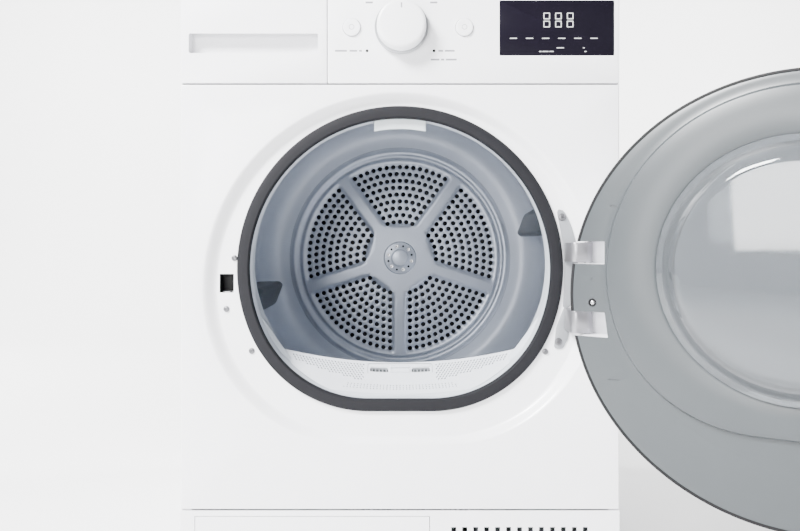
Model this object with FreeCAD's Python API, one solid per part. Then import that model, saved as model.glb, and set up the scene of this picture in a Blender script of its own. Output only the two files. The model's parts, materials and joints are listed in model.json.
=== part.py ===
import FreeCAD, Part

import math
import os

# Front-loading heat-pump clothes dryer, millimetres.
# X to the viewer's right, front face towards -Y, Z up from the floor.
# The origin is on the floor under the centre of the cabinet.
# The door stands open: every door piece is made closed and swung by DOOR_OPEN_DEG.

V = FreeCAD.Vector
os.makedirs("parts", exist_ok=True)

# ---- cabinet ----
WIDTH = 600.0
DEPTH = 600.0
HEIGHT = 850.0
HALF_W = WIDTH / 2
FRONT = -DEPTH / 2
BACK = DEPTH / 2
SHEET = 1.2
WORKTOP_T = 24.0
BASE_Z = 16.0
KICK_TOP = 114.0
PANEL_BOTTOM = 116.0
PANEL_TOP = 697.0
FASCIA_BOTTOM = 699.0
TOP_UNDERSIDE = HEIGHT - WORKTOP_T
GAP = 1.0

# ---- drum ----
DRUM_Z = 448.5
DRUM_R = 282.0
DRUM_T = 1.2
DRUM_LIP_R = 221.0
DRUM_LIP_Y = -214.0
DRUM_WALL_FRONT = -160.0
DRUM_WALL_BACK = 140.0
DRUM_BACK_Y = 200.0
DRUM_BACK_R = 225.0
SHAFT_R = 12.5
RUNNING_GAP = 0.05

# ---- loading opening: round on top, flattened at the bottom ----
# each outline is (top radius, its centre height, corner radius, height of the flat)
SEAL_OUT = (225.0, 444.4, 178.0, 248.0)
SEAL_IN = (208.0, 444.4, 161.0, 265.0)
NECK_OUT = (216.0, 444.4, 169.0, 257.0)
DISH_OUT = (276.0, 415.0, 210.0, 202.0)
DISH_IN = (252.0, 421.0, 196.0, 213.4)
DISH_DEPTH = 12.0
FLOOR_Y = FRONT + DISH_DEPTH

# ---- door ----
DOOR_R = 262.0
DOOR_Z = 415.0
DOOR_BACK_Y = FRONT - 3.0
DOOR_FRONT_Y = FRONT - 53.0
DOOR_WINDOW_R = 196.0
HINGE_X = 248.0
HINGE_Y = FRONT - 30.0
DOOR_OPEN_DEG = 148.5
PIN_R = 3.5
ARMS = ((468.0, 26.0), (376.0, 29.0))
POCKET_LEFT = 217.0
POCKET_FRONT = FRONT - 46.0

# ---- controls ----
KNOB_X = 2.0
KNOB_Z = 774.6
KNOB_R = 36.5
BUTTON_R = 12.0
BUTTON_Z = 775.0
POWER_X = -66.0
START_X = 88.0
DISPLAY = (136.0, 293.0, 736.5, 812.0)
DRAWER_RIGHT = -100.0

# ---- drive ----
MOTOR_X = -150.0
MOTOR_Z = 110.0
PULLEY_R = 10.0
BELT_Y = 60.0
BELT_W = 10.0
BELT_T = 2.5
ROLLER_R = 25.0
ROLLER_DEG = 32.0
ROLLER_Y = -140.0
ROLLER_W = 24.0
ROLLER_AXLE_R = 6.0
IDLER_PIVOT = (-75.0, 80.0)
IDLER_R = 14.0
IDLER_STUD_R = 5.0
FOOT_X = 262.0
FOOT_Y = 255.0


def box(x0, x1, y0, y1, z0, z1):
    return Part.makeBox(x1 - x0, y1 - y0, z1 - z0, V(x0, y0, z0))


def rod_x(y, z, r, x0, x1):
    return Part.makeCylinder(r, x1 - x0, V(x0, y, z), V(1, 0, 0))


def rod_y(x, z, r, y0, y1):
    return Part.makeCylinder(r, y1 - y0, V(x, y0, z), V(0, 1, 0))


def rod_z(x, y, r, z0, z1):
    return Part.makeCylinder(r, z1 - z0, V(x, y, z0), V(0, 0, 1))


def ring_y(x, z, r_out, r_in, y0, y1):
    return rod_y(x, z, r_out, y0, y1).cut(rod_y(x, z, r_in, y0 - 1, y1 + 1))


def fused(shapes):
    whole = shapes[0]
    for shape in shapes[1:]:
        whole = whole.fuse(shape)
    return whole.removeSplitter()


def turned(points, z, x=0.0):
    """Solid of revolution about a line along Y; points are (radius, y)."""
    ring = [V(x + r, y, z) for r, y in points]
    face = Part.Face(Part.makePolygon(ring + ring[:1]))
    return face.revolve(V(x, 0, z), V(0, 1, 0), 360)


def prism_y(points, y0, y1):
    """Straight bar along Y; points are (x, z)."""
    ring = [V(x, y0, z) for x, z in points]
    face = Part.Face(Part.makePolygon(ring + ring[:1]))
    return face.extrude(V(0, y1 - y0, 0))


def prism_z(points, z0, z1):
    """Straight bar along Z; points are (x, y)."""
    ring = [V(x, y, z0) for x, y in points]
    face = Part.Face(Part.makePolygon(ring + ring[:1]))
    return face.extrude(V(0, 0, z1 - z0))


def grown(outline, d):
    top_r, z, corner_r, flat = outline
    return (top_r + d, z, corner_r + d, flat - d)


def outline_wire(outline, y):
    """Round top arc, two corner arcs and a flat bottom, all tangent."""
    top_r, z, corner_r, flat = outline
    corner_z = flat + corner_r
    corner_x = math.sqrt((top_r - corner_r) ** 2 - (z - corner_z) ** 2)
    away = math.atan2(corner_z - z, corner_x)
    join = (top_r * math.cos(away), z + top_r * math.sin(away))
    middle = (away - math.pi / 2) / 2
    bend = (corner_x + corner_r * math.cos(middle), corner_z + corner_r * math.sin(middle))
    top = Part.Arc(V(-join[0], y, join[1]), V(0, y, z + top_r), V(join[0], y, join[1]))
    right = Part.Arc(V(join[0], y, join[1]), V(bend[0], y, bend[1]), V(corner_x, y, flat))
    bottom = Part.LineSegment(V(corner_x, y, flat), V(-corner_x, y, flat))
    left = Part.Arc(V(-corner_x, y, flat), V(-bend[0], y, bend[1]), V(-join[0], y, join[1]))
    return Part.Wire([edge.toShape() for edge in (top, right, bottom, left)])


def outline_block(outline, y0, y1):
    return Part.Face(outline_wire(outline, y0)).extrude(V(0, y1 - y0, 0))


def outline_loft(near, y0, far, y1):
    return Part.makeLoft([outline_wire(near, y0), outline_wire(far, y1)], True, True)


def swung(shape):
    """Door pieces: from closed to standing open."""
    copy = shape.copy()
    copy.rotate(V(HINGE_X, HINGE_Y, 0), V(0, 0, 1), DOOR_OPEN_DEG)
    return copy


def tube(points, r, bend):
    """Pipe of straight runs joined by tangent arcs."""
    route = [V(*point) for point in points]
    edges = []
    start = route[0]
    for before, corner, after in zip(route, route[1:], route[2:]):
        back = (before - corner).normalize()
        ahead = (after - corner).normalize()
        half = math.acos(back.dot(ahead)) / 2
        leg = bend / math.tan(half)
        middle = (back + ahead).normalize() * (bend / math.sin(half) - bend)
        arc_start = corner + back * leg
        arc_end = corner + ahead * leg
        edges.append(Part.LineSegment(start, arc_start).toShape())
        edges.append(Part.Arc(arc_start, corner + middle, arc_end).toShape())
        start = arc_end
    edges.append(Part.LineSegment(start, route[-1]).toShape())
    section = Part.Wire(Part.makeCircle(r, route[0], route[1] - route[0]))
    return Part.Wire(edges).makePipeShell([section], True, False)


# ------------------------------------------------------------------ cabinet

def base_tray():
    shell = box(-296, 296, FRONT + 8, BACK - 6, BASE_Z, 40)
    hollow = box(-293, 293, FRONT + 11, BACK - 9, BASE_Z + 3, 41)
    pads = [
        box(-190, -110, 90, 200, BASE_Z, 54.5),
        box(160, 250, 75, 165, BASE_Z, 24),
        box(-80, 120, -180, -10, BASE_Z, 29),
    ]
    for side in (-1, 1):
        x = side * roller_centre()[0]
        z = roller_centre()[1]
        pads.append(box(x - 9, x + 9, ROLLER_Y + ROLLER_W + 2, ROLLER_Y + ROLLER_W + 8, BASE_Z, 200))
        pads.append(rod_y(x, z, ROLLER_AXLE_R, ROLLER_Y - 6, ROLLER_Y + ROLLER_W + 2))
        pads.append(rod_y(x, z, ROLLER_AXLE_R + 3, ROLLER_Y - 8, ROLLER_Y - 1))
    px, pz = IDLER_PIVOT
    pads.append(box(px - 22, px + 4, BELT_Y + 12, BELT_Y + 15, BASE_Z, pz + 12))
    pads.append(rod_y(px, pz, IDLER_STUD_R, BELT_Y + 6, BELT_Y + 12))
    tray = shell.cut(hollow)
    for side in (-1, 1):
        tray = tray.cut(rod_z(side * FOOT_X, -FOOT_Y, 5.5, 0, 30))
        tray = tray.cut(rod_z(side * FOOT_X, FOOT_Y, 5.5, 0, 30))
    return fused([tray] + pads)


def hexagon(x, y, r):
    turns = [math.radians(60 * index) for index in range(6)]
    return [(x + r * math.cos(turn), y + r * math.sin(turn)) for turn in turns]


def levelling_feet():
    feet = []
    for x in (-FOOT_X, FOOT_X):
        for y in (-FOOT_Y, FOOT_Y):
            pad = rod_z(x, y, 21, 0, 5)
            nut = prism_z(hexagon(x, y, 11), 5, 11)
            stem = rod_z(x, y, 5, 11, 34)
            feet.append(fused([pad, nut, stem]))
    return Part.makeCompound(feet)


def side_panel(side):
    x_out = side * HALF_W
    x_in = side * (HALF_W - SHEET)
    x_flange = side * (HALF_W - 14)
    x0, x1 = sorted((x_out, x_in))
    f0, f1 = sorted((x_out, x_flange))
    skin = box(x0, x1, FRONT + 4.4, BACK - 2, BASE_Z, TOP_UNDERSIDE - 0.5)
    front = box(f0, f1, FRONT + 4.4, FRONT + 4.4 + SHEET, BASE_Z + 26, PANEL_TOP - 2)
    rear = box(f0, f1, BACK - 2 - SHEET, BACK - 2, BASE_Z + 26, TOP_UNDERSIDE - 0.5)
    return fused([skin, front, rear])


def rear_panel():
    plate = box(-HALF_W + 2, HALF_W - 2, BACK - 1.8, BACK, 42, TOP_UNDERSIDE - 1)
    for row in range(6):
        z = 90 + row * 14
        plate = plate.cut(box(-230, -80, BACK - 3, BACK + 1, z, z + 6))
    plate = plate.cut(box(150, 222, BACK - 3, BACK + 1, 742, 784))
    plate = plate.cut(rod_y(-240, 740, 9.5, BACK - 3, BACK + 1))
    dish = ring_y(0, DRUM_Z, 236, 232, BACK - 4.5, BACK - 1.8)
    return fused([plate, dish])


def worktop():
    slab = box(-HALF_W, HALF_W, FRONT, BACK, TOP_UNDERSIDE, HEIGHT)
    rim = [e for e in slab.Edges if e.BoundBox.ZMin > HEIGHT - 1]
    slab = slab.makeFillet(4.0, rim)
    for x0, x1 in ((-HALF_W + 14, -6), (6, HALF_W - 14)):
        slab = slab.cut(box(x0, x1, FRONT + 14, BACK - 14, TOP_UNDERSIDE, HEIGHT - 7))
    return slab


def front_panel():
    plate = box(-HALF_W, HALF_W, FRONT, FRONT + SHEET, PANEL_BOTTOM, PANEL_TOP)
    back = outline_loft(grown(DISH_OUT, 1.4), FRONT, grown(DISH_IN, 1.4), FLOOR_Y + SHEET)
    dish = outline_loft(DISH_OUT, FRONT, DISH_IN, FLOOR_Y)
    through = outline_block(NECK_OUT, FRONT - 1, FLOOR_Y + 5)
    panel = plate.fuse(back).cut(dish).cut(through)
    panel = panel.cut(box(-249.5, -229.8, FLOOR_Y - 1, FLOOR_Y + 3, 411.7, 437.6))
    flanges = [
        box(-HALF_W, -HALF_W + SHEET, FRONT, FRONT + 4, PANEL_BOTTOM, PANEL_TOP),
        box(HALF_W - SHEET, HALF_W, FRONT, FRONT + 4, PANEL_BOTTOM, PANEL_TOP),
        box(-HALF_W, HALF_W, FRONT, FRONT + 4, PANEL_BOTTOM, PANEL_BOTTOM + SHEET),
        box(-HALF_W, HALF_W, FRONT, FRONT + 4, PANEL_TOP - SHEET, PANEL_TOP),
    ]
    return fused([panel] + flanges)


PANEL_SCREWS = ((-229.0, 459.5), (-240.0, 389.0), (-205.0, 331.0), (201.0, 330.0))
BRACKET_SCREWS = ((224.0, 516.0), (218.7, 344.0))


def panel_screws():
    heads = []
    for x, z in PANEL_SCREWS:
        heads.append(screw(x, z, FLOOR_Y, 4.2))
    for x, z in BRACKET_SCREWS:
        heads.append(screw(x, z, FLOOR_Y - 2.0, 4.6))
    return Part.makeCompound(heads)


def screw(x, z, y, r):
    head = rod_y(x, z, r, y - 1.8, y)
    cross = box(x - 0.6, x + 0.6, y - 2, y - 0.8, z - 2.6, z + 2.6)
    cross = cross.fuse(box(x - 2.6, x + 2.6, y - 2, y - 0.8, z - 0.6, z + 0.6))
    return head.cut(cross)


def kick_panel():
    plate = box(-HALF_W, HALF_W, FRONT, FRONT + 3, BASE_Z, KICK_TOP)
    plate = plate.cut(box(FLAP[0] - 1, FLAP[1] + 1, FRONT - 1, FRONT + 5, FLAP[2] - 2.2, FLAP[3] + 1))
    for column in range(13):
        x = 70 + column * 15
        plate = plate.cut(box(x, x + 7, FRONT - 1, FRONT + 5, 40, 92))
    return plate


FLAP = (-280.0, 40.0, 24.0, 106.0)


def service_flap():
    x0, x1, z0, z1 = FLAP
    skin = box(x0, x1, FRONT, FRONT + 3, z0, z1)
    knuckle = rod_x(FRONT + 3, z0 + 3, 3, x0, x1)
    grip = box(-145, -95, FRONT + 3, FRONT + 6, z1 - 14, z1 - 8)
    return fused([skin, knuckle, grip])


# ------------------------------------------------------------------ loading opening

def door_seal():
    lip = outline_block(SEAL_OUT, FLOOR_Y - 6, FLOOR_Y)
    neck = outline_block(grown(NECK_OUT, -0.2), FLOOR_Y - 1, SEAL_BACK_Y)
    return fused([lip, neck]).cut(outline_block(SEAL_IN, FLOOR_Y - 7, SEAL_BACK_Y + 1))


DUCT_FRONT_Y = -263.5
SEAL_BACK_Y = -285.0
LENS_R = 190.0
DUCT_BEND_Y = -216.0
DUCT_BACK_Y = -203.0
DUCT_MOUTH = (209.0, 444.4, 162.0, 264.0)
DUCT_END = (217.5, 448.5, 199.0, 233.0)


def front_duct():
    """Collar behind the seal, flaring tube and the sleeve that the drum's lip turns on."""
    collar = outline_block(grown(NECK_OUT, -0.3), SEAL_BACK_Y + 0.5, DUCT_FRONT_Y + 0.2)
    collar = collar.cut(outline_block(SEAL_IN, SEAL_BACK_Y, DUCT_FRONT_Y + 2))
    tube_wall = outline_loft(grown(DUCT_MOUTH, 3), DUCT_FRONT_Y, grown(DUCT_END, 3), DUCT_BEND_Y)
    tube_wall = tube_wall.cut(outline_loft(DUCT_MOUTH, DUCT_FRONT_Y, DUCT_END, DUCT_BEND_Y))
    sleeve = outline_block(grown(DUCT_END, 3), DUCT_BEND_Y, DUCT_BACK_Y)
    sleeve = sleeve.cut(outline_block(DUCT_END, DUCT_BEND_Y, DUCT_BACK_Y))
    flange = outline_block(grown(SEAL_OUT, 12), DUCT_FRONT_Y, DUCT_FRONT_Y + 3)
    flange = flange.cut(outline_block(grown(DUCT_MOUTH, 1.5), DUCT_FRONT_Y - 1, DUCT_FRONT_Y + 4))
    body = fused([collar, tube_wall, sleeve, flange])
    body = body.cut(box(-36.4, 36.4, SEAL_BACK_Y, -222, 630, 655.5))
    return body.cut(box(-WELL_HALF - 3, WELL_HALF + 3, -252, -224, 150, 300))


def lamp_lens():
    window = box(-36, 36, SEAL_BACK_Y + 1, -222.3, 632, 655)
    window = window.cut(rod_y(0, DRUM_Z, LENS_R, SEAL_BACK_Y, -216))
    return window.common(outline_block(grown(SEAL_IN, 4), SEAL_BACK_Y, -216))


def hump_cutter(lift):
    """Shallow trough surface that slopes up from the seal to the drum lip."""
    rise = V(0, HUMP_BACK_Y - HUMP_FRONT_Y, HUMP_BACK_Z - HUMP_FRONT_Z)
    rise.normalize()
    normal = V(0, -rise.z, rise.y)
    start = V(0, HUMP_FRONT_Y, HUMP_FRONT_Z + lift) + normal * HUMP_R - rise * 60
    return Part.makeCylinder(HUMP_R, 240, start, rise)


HUMP_R = 500.0
HUMP_FRONT_Y = -263.0
HUMP_FRONT_Z = 266.5
HUMP_BACK_Y = -216.0
HUMP_BACK_Z = 303.0
WELL_HALF = 112.0


def filter_duct():
    inside = outline_loft(grown(DUCT_MOUTH, -0.8), DUCT_FRONT_Y, grown(DUCT_END, -0.8), HUMP_BACK_Y)
    low = box(-230, 230, DUCT_FRONT_Y - 1, HUMP_BACK_Y + 1, 200, 345)
    body = inside.common(low).cut(hump_cutter(0))
    hollow = outline_loft(grown(DUCT_MOUTH, -4), DUCT_FRONT_Y + 3, grown(DUCT_END, -4), HUMP_BACK_Y - 3)
    hollow = hollow.common(low).cut(hump_cutter(-3.5))
    body = body.cut(hollow)
    well = box(-WELL_HALF - 2.5, WELL_HALF + 2.5, -251.5, -224.5, 160, 292)
    well = well.cut(hump_cutter(0))
    slot = box(-WELL_HALF, WELL_HALF, -249, -227, 163, 340)
    body = fused([body, well]).cut(slot)
    return body.cut(outline_block(NECK_OUT, DUCT_FRONT_Y - 1, DUCT_FRONT_Y + 0.5))


def filter_slab(grow):
    plate = box(-WELL_HALF + 1.5 + grow, WELL_HALF - 1.5 - grow, -247.5, -228.5, 166, 340)
    return plate.cut(hump_cutter(0))


def lint_filter():
    frame = filter_slab(0)
    window = box(-95, 95, -249, -227, 180, 262)
    bar = box(-2, 2, -247.5, -228.5, 178, 264)
    grips = [box(x - 13, x + 13, -249, -238, 283, 297) for x in (-34, 34)]
    body = frame.cut(window).fuse(bar)
    for grip in grips:
        body = body.cut(grip)
    return body


def filter_mesh():
    return Part.makeCompound([
        box(-95, -2, -238.6, -237.4, 180, 262),
        box(2, 95, -238.6, -237.4, 180, 262),
    ])


def latch_housing():
    shell = box(-256, -223, FLOOR_Y + SHEET + 0.2, -264.5, 400, 452)
    hole = box(-249.5, -229.8, FLOOR_Y, -266, 408, 437.6)
    return shell.cut(hole)


def latch_catch():
    """Sprung hook below the striker's path; it pivots up behind the striker."""
    pivot = rod_x(-268.5, LATCH_Z, 2, -249, -230.3)
    blade = box(-243, -236, -284, -267.5, LATCH_Z - 1.6, LATCH_Z + 1.6)
    return fused([pivot, blade])


LATCH_Z = 411.5


# ------------------------------------------------------------------ drum

def drum_shell():
    outer = [
        (DRUM_LIP_R + DRUM_T, DRUM_LIP_Y),
        (DRUM_LIP_R + DRUM_T, -203),
        (DRUM_R + DRUM_T, DRUM_WALL_FRONT),
        (DRUM_R + DRUM_T, DRUM_WALL_BACK),
        (DRUM_R - 5 + DRUM_T, DRUM_WALL_BACK + 22),
        (DRUM_R - 20 + DRUM_T, DRUM_WALL_BACK + 43),
        (DRUM_BACK_R + 10, DRUM_BACK_Y),
        (DRUM_BACK_R, DRUM_BACK_Y + 1),
    ]
    inner = [
        (DRUM_BACK_R, DRUM_BACK_Y - 1),
        (DRUM_BACK_R + 9.5, DRUM_BACK_Y - 2),
        (DRUM_R - 20, DRUM_WALL_BACK + 41.5),
        (DRUM_R - 5, DRUM_WALL_BACK + 21.5),
        (DRUM_R, DRUM_WALL_BACK),
        (DRUM_R, DRUM_WALL_FRONT + 1),
        (DRUM_LIP_R, -202),
        (DRUM_LIP_R, DRUM_LIP_Y),
    ]
    return turned(outer + inner, DRUM_Z)


SPOKE_ANGLES = (270.0, 342.0, 54.0, 126.0, 198.0)


def drum_back():
    plate = rod_y(0, DRUM_Z, DRUM_BACK_R, DRUM_BACK_Y + 1, DRUM_BACK_Y + 3)
    bead = ring_y(0, DRUM_Z, 224.8, 213, DRUM_BACK_Y - 3, DRUM_BACK_Y + 1)
    rim = ring_y(0, DRUM_Z, 201, 196, DRUM_BACK_Y - 3, DRUM_BACK_Y + 1)
    hub = rod_y(0, DRUM_Z, 66, DRUM_BACK_Y - 3, DRUM_BACK_Y + 1)
    pieces = [plate, bead, rim, hub]
    for angle in SPOKE_ANGLES:
        spoke = box(50, 197, DRUM_BACK_Y - 3, DRUM_BACK_Y + 1, DRUM_Z - 11, DRUM_Z + 11)
        spoke.rotate(V(0, 0, DRUM_Z), V(0, 1, 0), -angle)
        pieces.append(spoke)
    return fused(pieces)


def drum_hub():
    cap = rod_y(0, DRUM_Z, 32, DRUM_BACK_Y - 6, DRUM_BACK_Y - 3)
    nose = rod_y(0, DRUM_Z, 17, DRUM_BACK_Y - 8, DRUM_BACK_Y - 6)
    plate = rod_y(0, DRUM_Z, 60, DRUM_BACK_Y + 3, DRUM_BACK_Y + 7)
    shaft = rod_y(0, DRUM_Z, SHAFT_R, DRUM_BACK_Y + 7, 262)
    return Part.makeCompound([fused([cap, nose]), fused([plate, shaft])])


def hub_bolts():
    bolts = []
    for index in range(12):
        angle = math.radians(15 + 30 * index)
        r = 3.6 if index % 2 else 2.2
        x = 26 * math.cos(angle)
        z = DRUM_Z + 26 * math.sin(angle)
        bolts.append(rod_y(x, z, r, DRUM_BACK_Y - 8, DRUM_BACK_Y - 6))
    return Part.makeCompound(bolts)


LIFTER_SECTION = ((-276.8, -44.0), (-232.0, -43.0), (-226.0, -49.0), (-240.0, -86.0), (-262.8, -97.6))
LIFTER_FRONT = -150.0
LIFTER_BACK = 120.0


def drum_lifters():
    points = [(x, DRUM_Z + z) for x, z in LIFTER_SECTION]
    left = prism_y(points, LIFTER_FRONT, LIFTER_BACK)
    slope = prism_z([(-230, LIFTER_FRONT - 1), (-200, LIFTER_FRONT - 1), (-200, -90), (-222, -90)], 300,
                    500)
    left = left.cut(slope)
    right = left.copy()
    right.rotate(V(0, 0, DRUM_Z), V(0, 1, 0), 180)
    return Part.makeCompound([left, right])


def roller_centre():
    reach = DRUM_R + DRUM_T + ROLLER_R + 0.4
    angle = math.radians(ROLLER_DEG)
    return reach * math.sin(angle), DRUM_Z - reach * math.cos(angle)


def support_roller(side):
    x, z = roller_centre()
    return ring_y(side * x, z, ROLLER_R, ROLLER_AXLE_R + RUNNING_GAP, ROLLER_Y, ROLLER_Y + ROLLER_W)


# ------------------------------------------------------------------ rear air path and drive

def rear_duct():
    shell = rod_y(0, DRUM_Z, 248, 212, 288)
    hollow = rod_y(0, DRUM_Z, 245, 211, 285)
    boss = rod_y(0, DRUM_Z, 34, 222, 286)
    body = shell.cut(hollow).fuse(boss)
    for angle in range(0, 360, 60):
        web = box(30, 246, 240, 286, DRUM_Z - 2, DRUM_Z + 2)
        web.rotate(V(0, 0, DRUM_Z), V(0, 1, 0), angle + 30)
        body = body.fuse(web)
    body = body.cut(rod_y(0, DRUM_Z, 26, 221, 264))
    inlet = box(-222, -172, 216, 264, 200, 330)
    return body.cut(inlet.common(ring_y(0, DRUM_Z, 260, 240, 212, 270))).removeSplitter()


def rear_bearing():
    return ring_y(0, DRUM_Z, 25.9, SHAFT_R + RUNNING_GAP, 224, 262)


def blower_housing():
    shell = rod_y(MOTOR_X, MOTOR_Z, 84, 212, 268)
    chimney = box(-224, -170, 212, 268, MOTOR_Z, 330)
    body = fused([shell, chimney]).cut(rod_y(0, DRUM_Z, 248.4, 210, 290))
    hollow = rod_y(MOTOR_X, MOTOR_Z, 81, 214.5, 265.5).fuse(box(-221, -173, 214.5, 265.5, MOTOR_Z, 340))
    body = body.cut(hollow)
    return body.cut(rod_y(MOTOR_X, MOTOR_Z, 30, 210, 216))


def blower_wheel():
    back = rod_y(MOTOR_X, MOTOR_Z, 74, 256, 258)
    hub = rod_y(MOTOR_X, MOTOR_Z, 16, 224, 256)
    rim = ring_y(MOTOR_X, MOTOR_Z, 74, 60, 220, 222)
    pieces = [back, hub, rim]
    for index in range(12):
        blade = box(62, 73.5, 221, 257, -1, 1)
        blade.rotate(V(67, 0, 0), V(0, 1, 0), 25)
        blade.rotate(V(0, 0, 0), V(0, 1, 0), index * 30)
        blade.translate(V(MOTOR_X, 0, MOTOR_Z))
        pieces.append(blade)
    return fused(pieces).cut(rod_y(MOTOR_X, MOTOR_Z, 6, 219, 260))


def motor_body():
    can = rod_y(MOTOR_X, MOTOR_Z, 55, 90, 200)
    for index in range(8):
        angle = math.radians(45 * index)
        x = MOTOR_X + 40 * math.cos(angle)
        z = MOTOR_Z + 40 * math.sin(angle)
        can = can.cut(rod_y(x, z, 6, 89, 96))
    return can.cut(rod_y(MOTOR_X, MOTOR_Z, 6 + RUNNING_GAP, 89, 201))


def motor_rotor():
    shaft = rod_y(MOTOR_X, MOTOR_Z, 6, 48, 256)
    pulley = rod_y(MOTOR_X, MOTOR_Z, PULLEY_R, BELT_Y - 6, BELT_Y + 6)
    flanges = [rod_y(MOTOR_X, MOTOR_Z, PULLEY_R + 4, y, y + 2) for y in (BELT_Y - 8, BELT_Y + 6)]
    return fused([shaft, pulley] + flanges)


def belt_loop(drum_r, pulley_r):
    """Face bounded by two arcs and the two outer tangents."""
    dx = MOTOR_X
    dz = MOTOR_Z - DRUM_Z
    span = math.hypot(dx, dz)
    heading = math.atan2(dz, dx)
    lean = math.acos((drum_r - pulley_r) / span)
    y = BELT_Y - BELT_W / 2
    a = heading + lean
    b = heading - lean

    def at(x, z, r, angle):
        return V(x + r * math.cos(angle), y, z + r * math.sin(angle))

    drum_a = at(0, DRUM_Z, drum_r, a)
    drum_b = at(0, DRUM_Z, drum_r, b)
    pulley_a = at(MOTOR_X, MOTOR_Z, pulley_r, a)
    pulley_b = at(MOTOR_X, MOTOR_Z, pulley_r, b)
    edges = [
        Part.Arc(drum_a, at(0, DRUM_Z, drum_r, heading + math.pi), drum_b),
        Part.LineSegment(drum_b, pulley_b),
        Part.Arc(pulley_b, at(MOTOR_X, MOTOR_Z, pulley_r, heading), pulley_a),
        Part.LineSegment(pulley_a, drum_a),
    ]
    face = Part.Face(Part.Wire([edge.toShape() for edge in edges]))
    return face.extrude(V(0, BELT_W, 0))


def drive_belt():
    skin = 0.45
    drum_r = DRUM_R + DRUM_T + skin
    return belt_loop(drum_r + BELT_T, PULLEY_R + skin + BELT_T).cut(belt_loop(drum_r, PULLEY_R + skin))


def idler_centre():
    """Outside the slack run of the belt, just clear of it."""
    heading = math.atan2(MOTOR_Z - DRUM_Z, MOTOR_X)
    span = math.hypot(MOTOR_X, MOTOR_Z - DRUM_Z)
    lean = math.acos((DRUM_R + DRUM_T - PULLEY_R) / span)
    angle = heading + lean
    reach = PULLEY_R + BELT_T + 0.45 + IDLER_R + 0.8
    along = 40.0
    x = MOTOR_X + reach * math.cos(angle) - along * math.sin(angle)
    z = MOTOR_Z + reach * math.sin(angle) + along * math.cos(angle)
    return x, z


def idler_pulley():
    x, z = idler_centre()
    return ring_y(x, z, IDLER_R, 4 + RUNNING_GAP, BELT_Y - 6, BELT_Y + 6)


def idler_arm():
    x, z = idler_centre()
    px, pz = IDLER_PIVOT
    length = math.hypot(x - px, z - pz)
    bar = box(0, length, BELT_Y + 8, BELT_Y + 11, -6, 6)
    bar.rotate(V(0, 0, 0), V(0, 1, 0), -math.degrees(math.atan2(z - pz, x - px)))
    bar.translate(V(px, 0, pz))
    ends = [rod_y(x, z, 9, BELT_Y + 8, BELT_Y + 11), rod_y(px, pz, 11, BELT_Y + 8, BELT_Y + 11)]
    axle = rod_y(x, z, 4, BELT_Y - 7, BELT_Y + 8)
    return fused([bar, axle] + ends).cut(rod_y(px, pz, IDLER_STUD_R + RUNNING_GAP, BELT_Y, BELT_Y + 20))


# ------------------------------------------------------------------ heat pump

def compressor():
    can = rod_z(205, 120, 58, 32, 178)
    can = can.makeFillet(14, [e for e in can.Edges if isinstance(e.Curve, Part.Circle)])
    feet = [box(205 - 62, 205 + 62, 120 - 8, 120 + 8, 24, 34), box(205 - 8, 205 + 8, 120 - 62, 120 + 62,
                                                                   24, 34)]
    stub = rod_z(185, 120, 5, 170, 190)
    return fused([can, stub] + feet)


def finned_block(y0, y1):
    block = [box(-80, -76, y0, y1, 29, 150), box(116, 120, y0, y1, 29, 150)]
    for index in range(24):
        x = -72 + index * 8.0
        block.append(box(x, x + 2, y0 + 2, y1 - 2, 31, 148))
    for row in range(4):
        for column in range(2):
            y = y0 + (y1 - y0) * (0.28 + 0.44 * column)
            block.append(rod_x(y, 45 + row * 30, 5, -80, 120))
    return fused(block)


def refrigerant_pipes():
    suction = tube([(120.2, -160, 135), (142, -160, 135), (142, 30, 120), (185, 60, 188),
                    (185, 114.5, 188)], 4, 9)
    liquid = tube([(120.2, -60, 60), (136, -60, 60), (136, -30, 60), (225, -30, 60), (225, 63, 60)], 4, 9)
    return Part.makeCompound([suction, liquid])


def drain_pump():
    sump = box(190, 260, -120, -60, BASE_Z + 3, 60)
    can = rod_z(225, -90, 22, 60, 100)
    spout = rod_x(-90, 80, 6, 240, 285)
    return fused([sump, can, spout])


def drain_spigot():
    barb = rod_y(-240, 740, 9, BACK - 26, BACK + 22)
    flange = rod_y(-240, 740, 16, BACK, BACK + 3)
    collar = rod_y(-240, 740, 13, BACK - 8, BACK - 2)
    return fused([barb, flange, collar]).cut(rod_y(-240, 740, 6.5, BACK - 27, BACK + 23))


def mains_inlet():
    body = box(152, 220, BACK - 26, BACK - 2, 744, 782)
    face = box(146, 226, BACK, BACK + 3, 738, 788)
    neck = box(151, 221, BACK - 2, BACK, 743, 783)
    socket = box(168, 204, BACK - 16, BACK + 4, 752, 774)
    pins = [box(x - 1, x + 1, BACK - 16, BACK - 3, 759, 767) for x in (176, 186, 196)]
    return fused([body, face, neck]).cut(socket).fuse(pins[0]).fuse(pins[1]).fuse(pins[2])


def power_board():
    case = box(110, 284, -180, 60, 742, 790)
    for index in range(10):
        y = -165 + index * 22
        case = case.cut(box(120, 274, y, y + 8, 787, 791))
    return case


# ------------------------------------------------------------------ controls

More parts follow.
